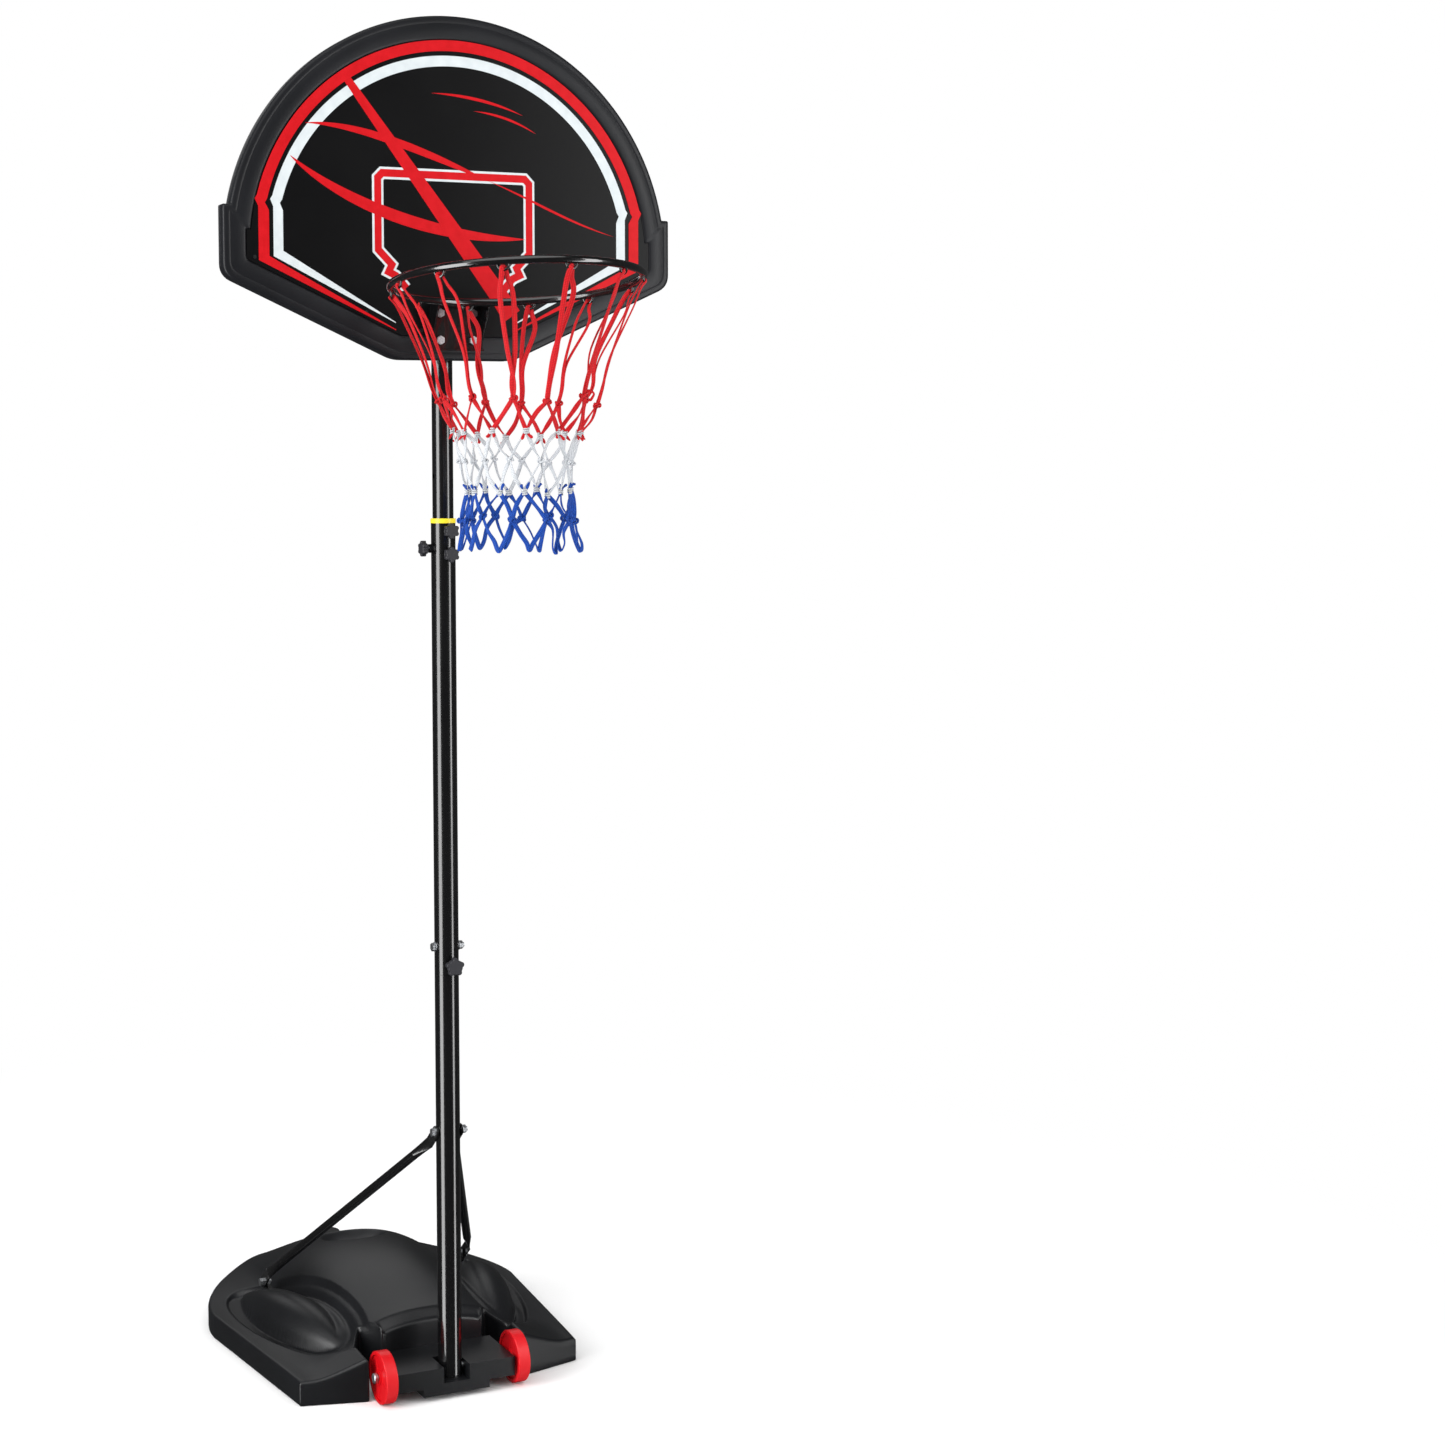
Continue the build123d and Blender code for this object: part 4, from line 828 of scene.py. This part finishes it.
# %% Ties, white diamonds and blue loops
for i in range(HOOKS):
    out = red_ties[i] - [0, RING_MIDDLE.y, red_ties[i][2]]
    out /= np.linalg.norm(out)
    for tie, ink, lift in ((red_ties[i], RED, -1), (white_ties[i], BLUE, 1)):
        wrap = np.linspace(0, 5.5 * math.pi, 34)
        tangent = np.cross(out, [0, 0, 1])
        coil = (tie + 4.4 * np.cos(wrap)[:, None] * tangent + 3.2 * np.sin(wrap)[:, None] * out
                + np.array([0, 0, 1]) * (np.linspace(-4.5, 4.5, 34))[:, None])
        cords.add(coil, WHITE, 3.0, 2.0, smooth=False)
        for way in (1, -1):
            cords.tuft(tie + tangent * 3 * way + np.array([0, 0, 4.0 * lift]),
                       out * 0.5 + tangent * 0.35 * way + np.array([0, 0, lift * 0.8]),
                       ink, rng.uniform(8, 12))
    for knot in (white_knots[i], white_knots[(i + 1) % HOOKS]):
        for tie in (red_ties[i], white_ties[i]):
            middle = (knot + tie) / 2 + rng.normal(0, 3.0, 3)
            cords.add([tie, middle, knot], WHITE, 6.6, 2.6, twist=rng.normal(0, 1.5))
    cords.knot(white_knots[i], WHITE, 5.0, 4.2)
    for knot in (blue_knots[i], blue_knots[(i + 1) % HOOKS]):
        middle = (knot + white_ties[i]) / 2 + rng.normal(0, 2.5, 3)
        cords.add([white_ties[i], middle, knot], BLUE, 7.4, 2.8, twist=rng.normal(0, 1.5))
    cords.knot(blue_knots[i], BLUE, 6.2, 5.0)
    left, right, low = blue_knots[i], blue_knots[(i + 1) % HOOKS], loop_lows[i]
    rise = np.array([0, 0, 2.8])
    cords.add([left, left * 0.6 + low * 0.4 + rise + rng.normal(0, 3, 3),
               left * 0.22 + low * 0.78 + rng.normal(0, 2, 3), low,
               right * 0.22 + low * 0.78 + rng.normal(0, 2, 3),
               right * 0.6 + low * 0.4 + rise + rng.normal(0, 3, 3), right],
              BLUE, 7.6, 2.8, twist=rng.normal(0, 1.6))
print("net points", cords.count)

# %% Net mesh
net_points = np.vstack(cords.points)
net_points[:, 2] = np.maximum(net_points[:, 2], NET_LOW)
net = make_piece("net_cords", net_points, np.vstack(cords.faces), [red_cord, white_cord, blue_cord],
                 "slide")
net.data.polygons.foreach_set("material_index", np.concatenate(cords.inks).astype(np.int32))
net.data.uv_layers.new(name="cord").data.foreach_set("uv", np.vstack(cords.maps).ravel())
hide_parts("net")

# %% Floor
FLOOR_REACH, SHADOW_REACH = 30.0, (0.7, 2.2)


def studio_floor():
    """A pale sheet at z = 0. Away from the hoop it blends to a plain white glow, as overlit paper does,
    so it meets the white background without an edge, and the soft shadow stays near the base."""
    side = np.linspace(-FLOOR_REACH, FLOOR_REACH, 7)
    x, y = np.meshgrid(side, side)
    points = np.column_stack([x.ravel(), y.ravel(), np.zeros(x.size)])
    mesh = bpy.data.meshes.new("floor")
    mesh.from_pydata(points.tolist(), [], grid_faces(np.arange(x.size).reshape(x.shape)).tolist())
    floor = bpy.data.objects.new("floor", mesh)
    scene.collection.objects.link(floor)
    m, tree, shader = new_material("pale_paper", "#fdfdfd", Roughness=0.9, Specular__IOR__Level=0.0)
    place = node(tree, "ShaderNodeTexCoord")
    reach = node(tree, "ShaderNodeVectorMath", {"operation": "LENGTH"}, _0=(place, "Object"))
    far = span(tree, (reach, "Value"), 0.0, 1.0)
    far.inputs["From Min"].default_value, far.inputs["From Max"].default_value = SHADOW_REACH
    bright = node(tree, "ShaderNodeEmission", None, Color=(1, 1, 1, 1), Strength=1.0)
    blend = node(tree, "ShaderNodeMixShader", None, _1=(shader, "BSDF"), _2=(bright, "Emission"),
                 Fac=(far, "Result"))
    tree.links.new(blend.outputs["Shader"], tree.nodes["Material Output"].inputs["Surface"])
    mesh.materials.append(m)
    floor.visible_glossy = False


studio_floor()

# %% Finishes of the engineered pieces
FINISHES = {"gloss_paint": mast_coat, "ring_paint": ring_coat, "zinc_steel": zinc,
            "base_plastic": base_plastic, "cap_plastic": cap_plastic, "seal_rubber": seal_rubber,
            "wheel_plastic": wheel_plastic, "black_plastic": cap_plastic,
            "collar_plastic": collar_plastic, "knob_plastic": knob_plastic,
            "board_plastic": frame_plastic, "panel_plastic": panel_plastic, "net_cord": red_cord}
for part in frame["record"]["subparts"]:
    piece = nodes[part["node"]]
    piece.data.materials.clear()
    piece.data.materials.append(FINISHES[part["material_slot"]])
print("finished", len(nodes), "engineered pieces")
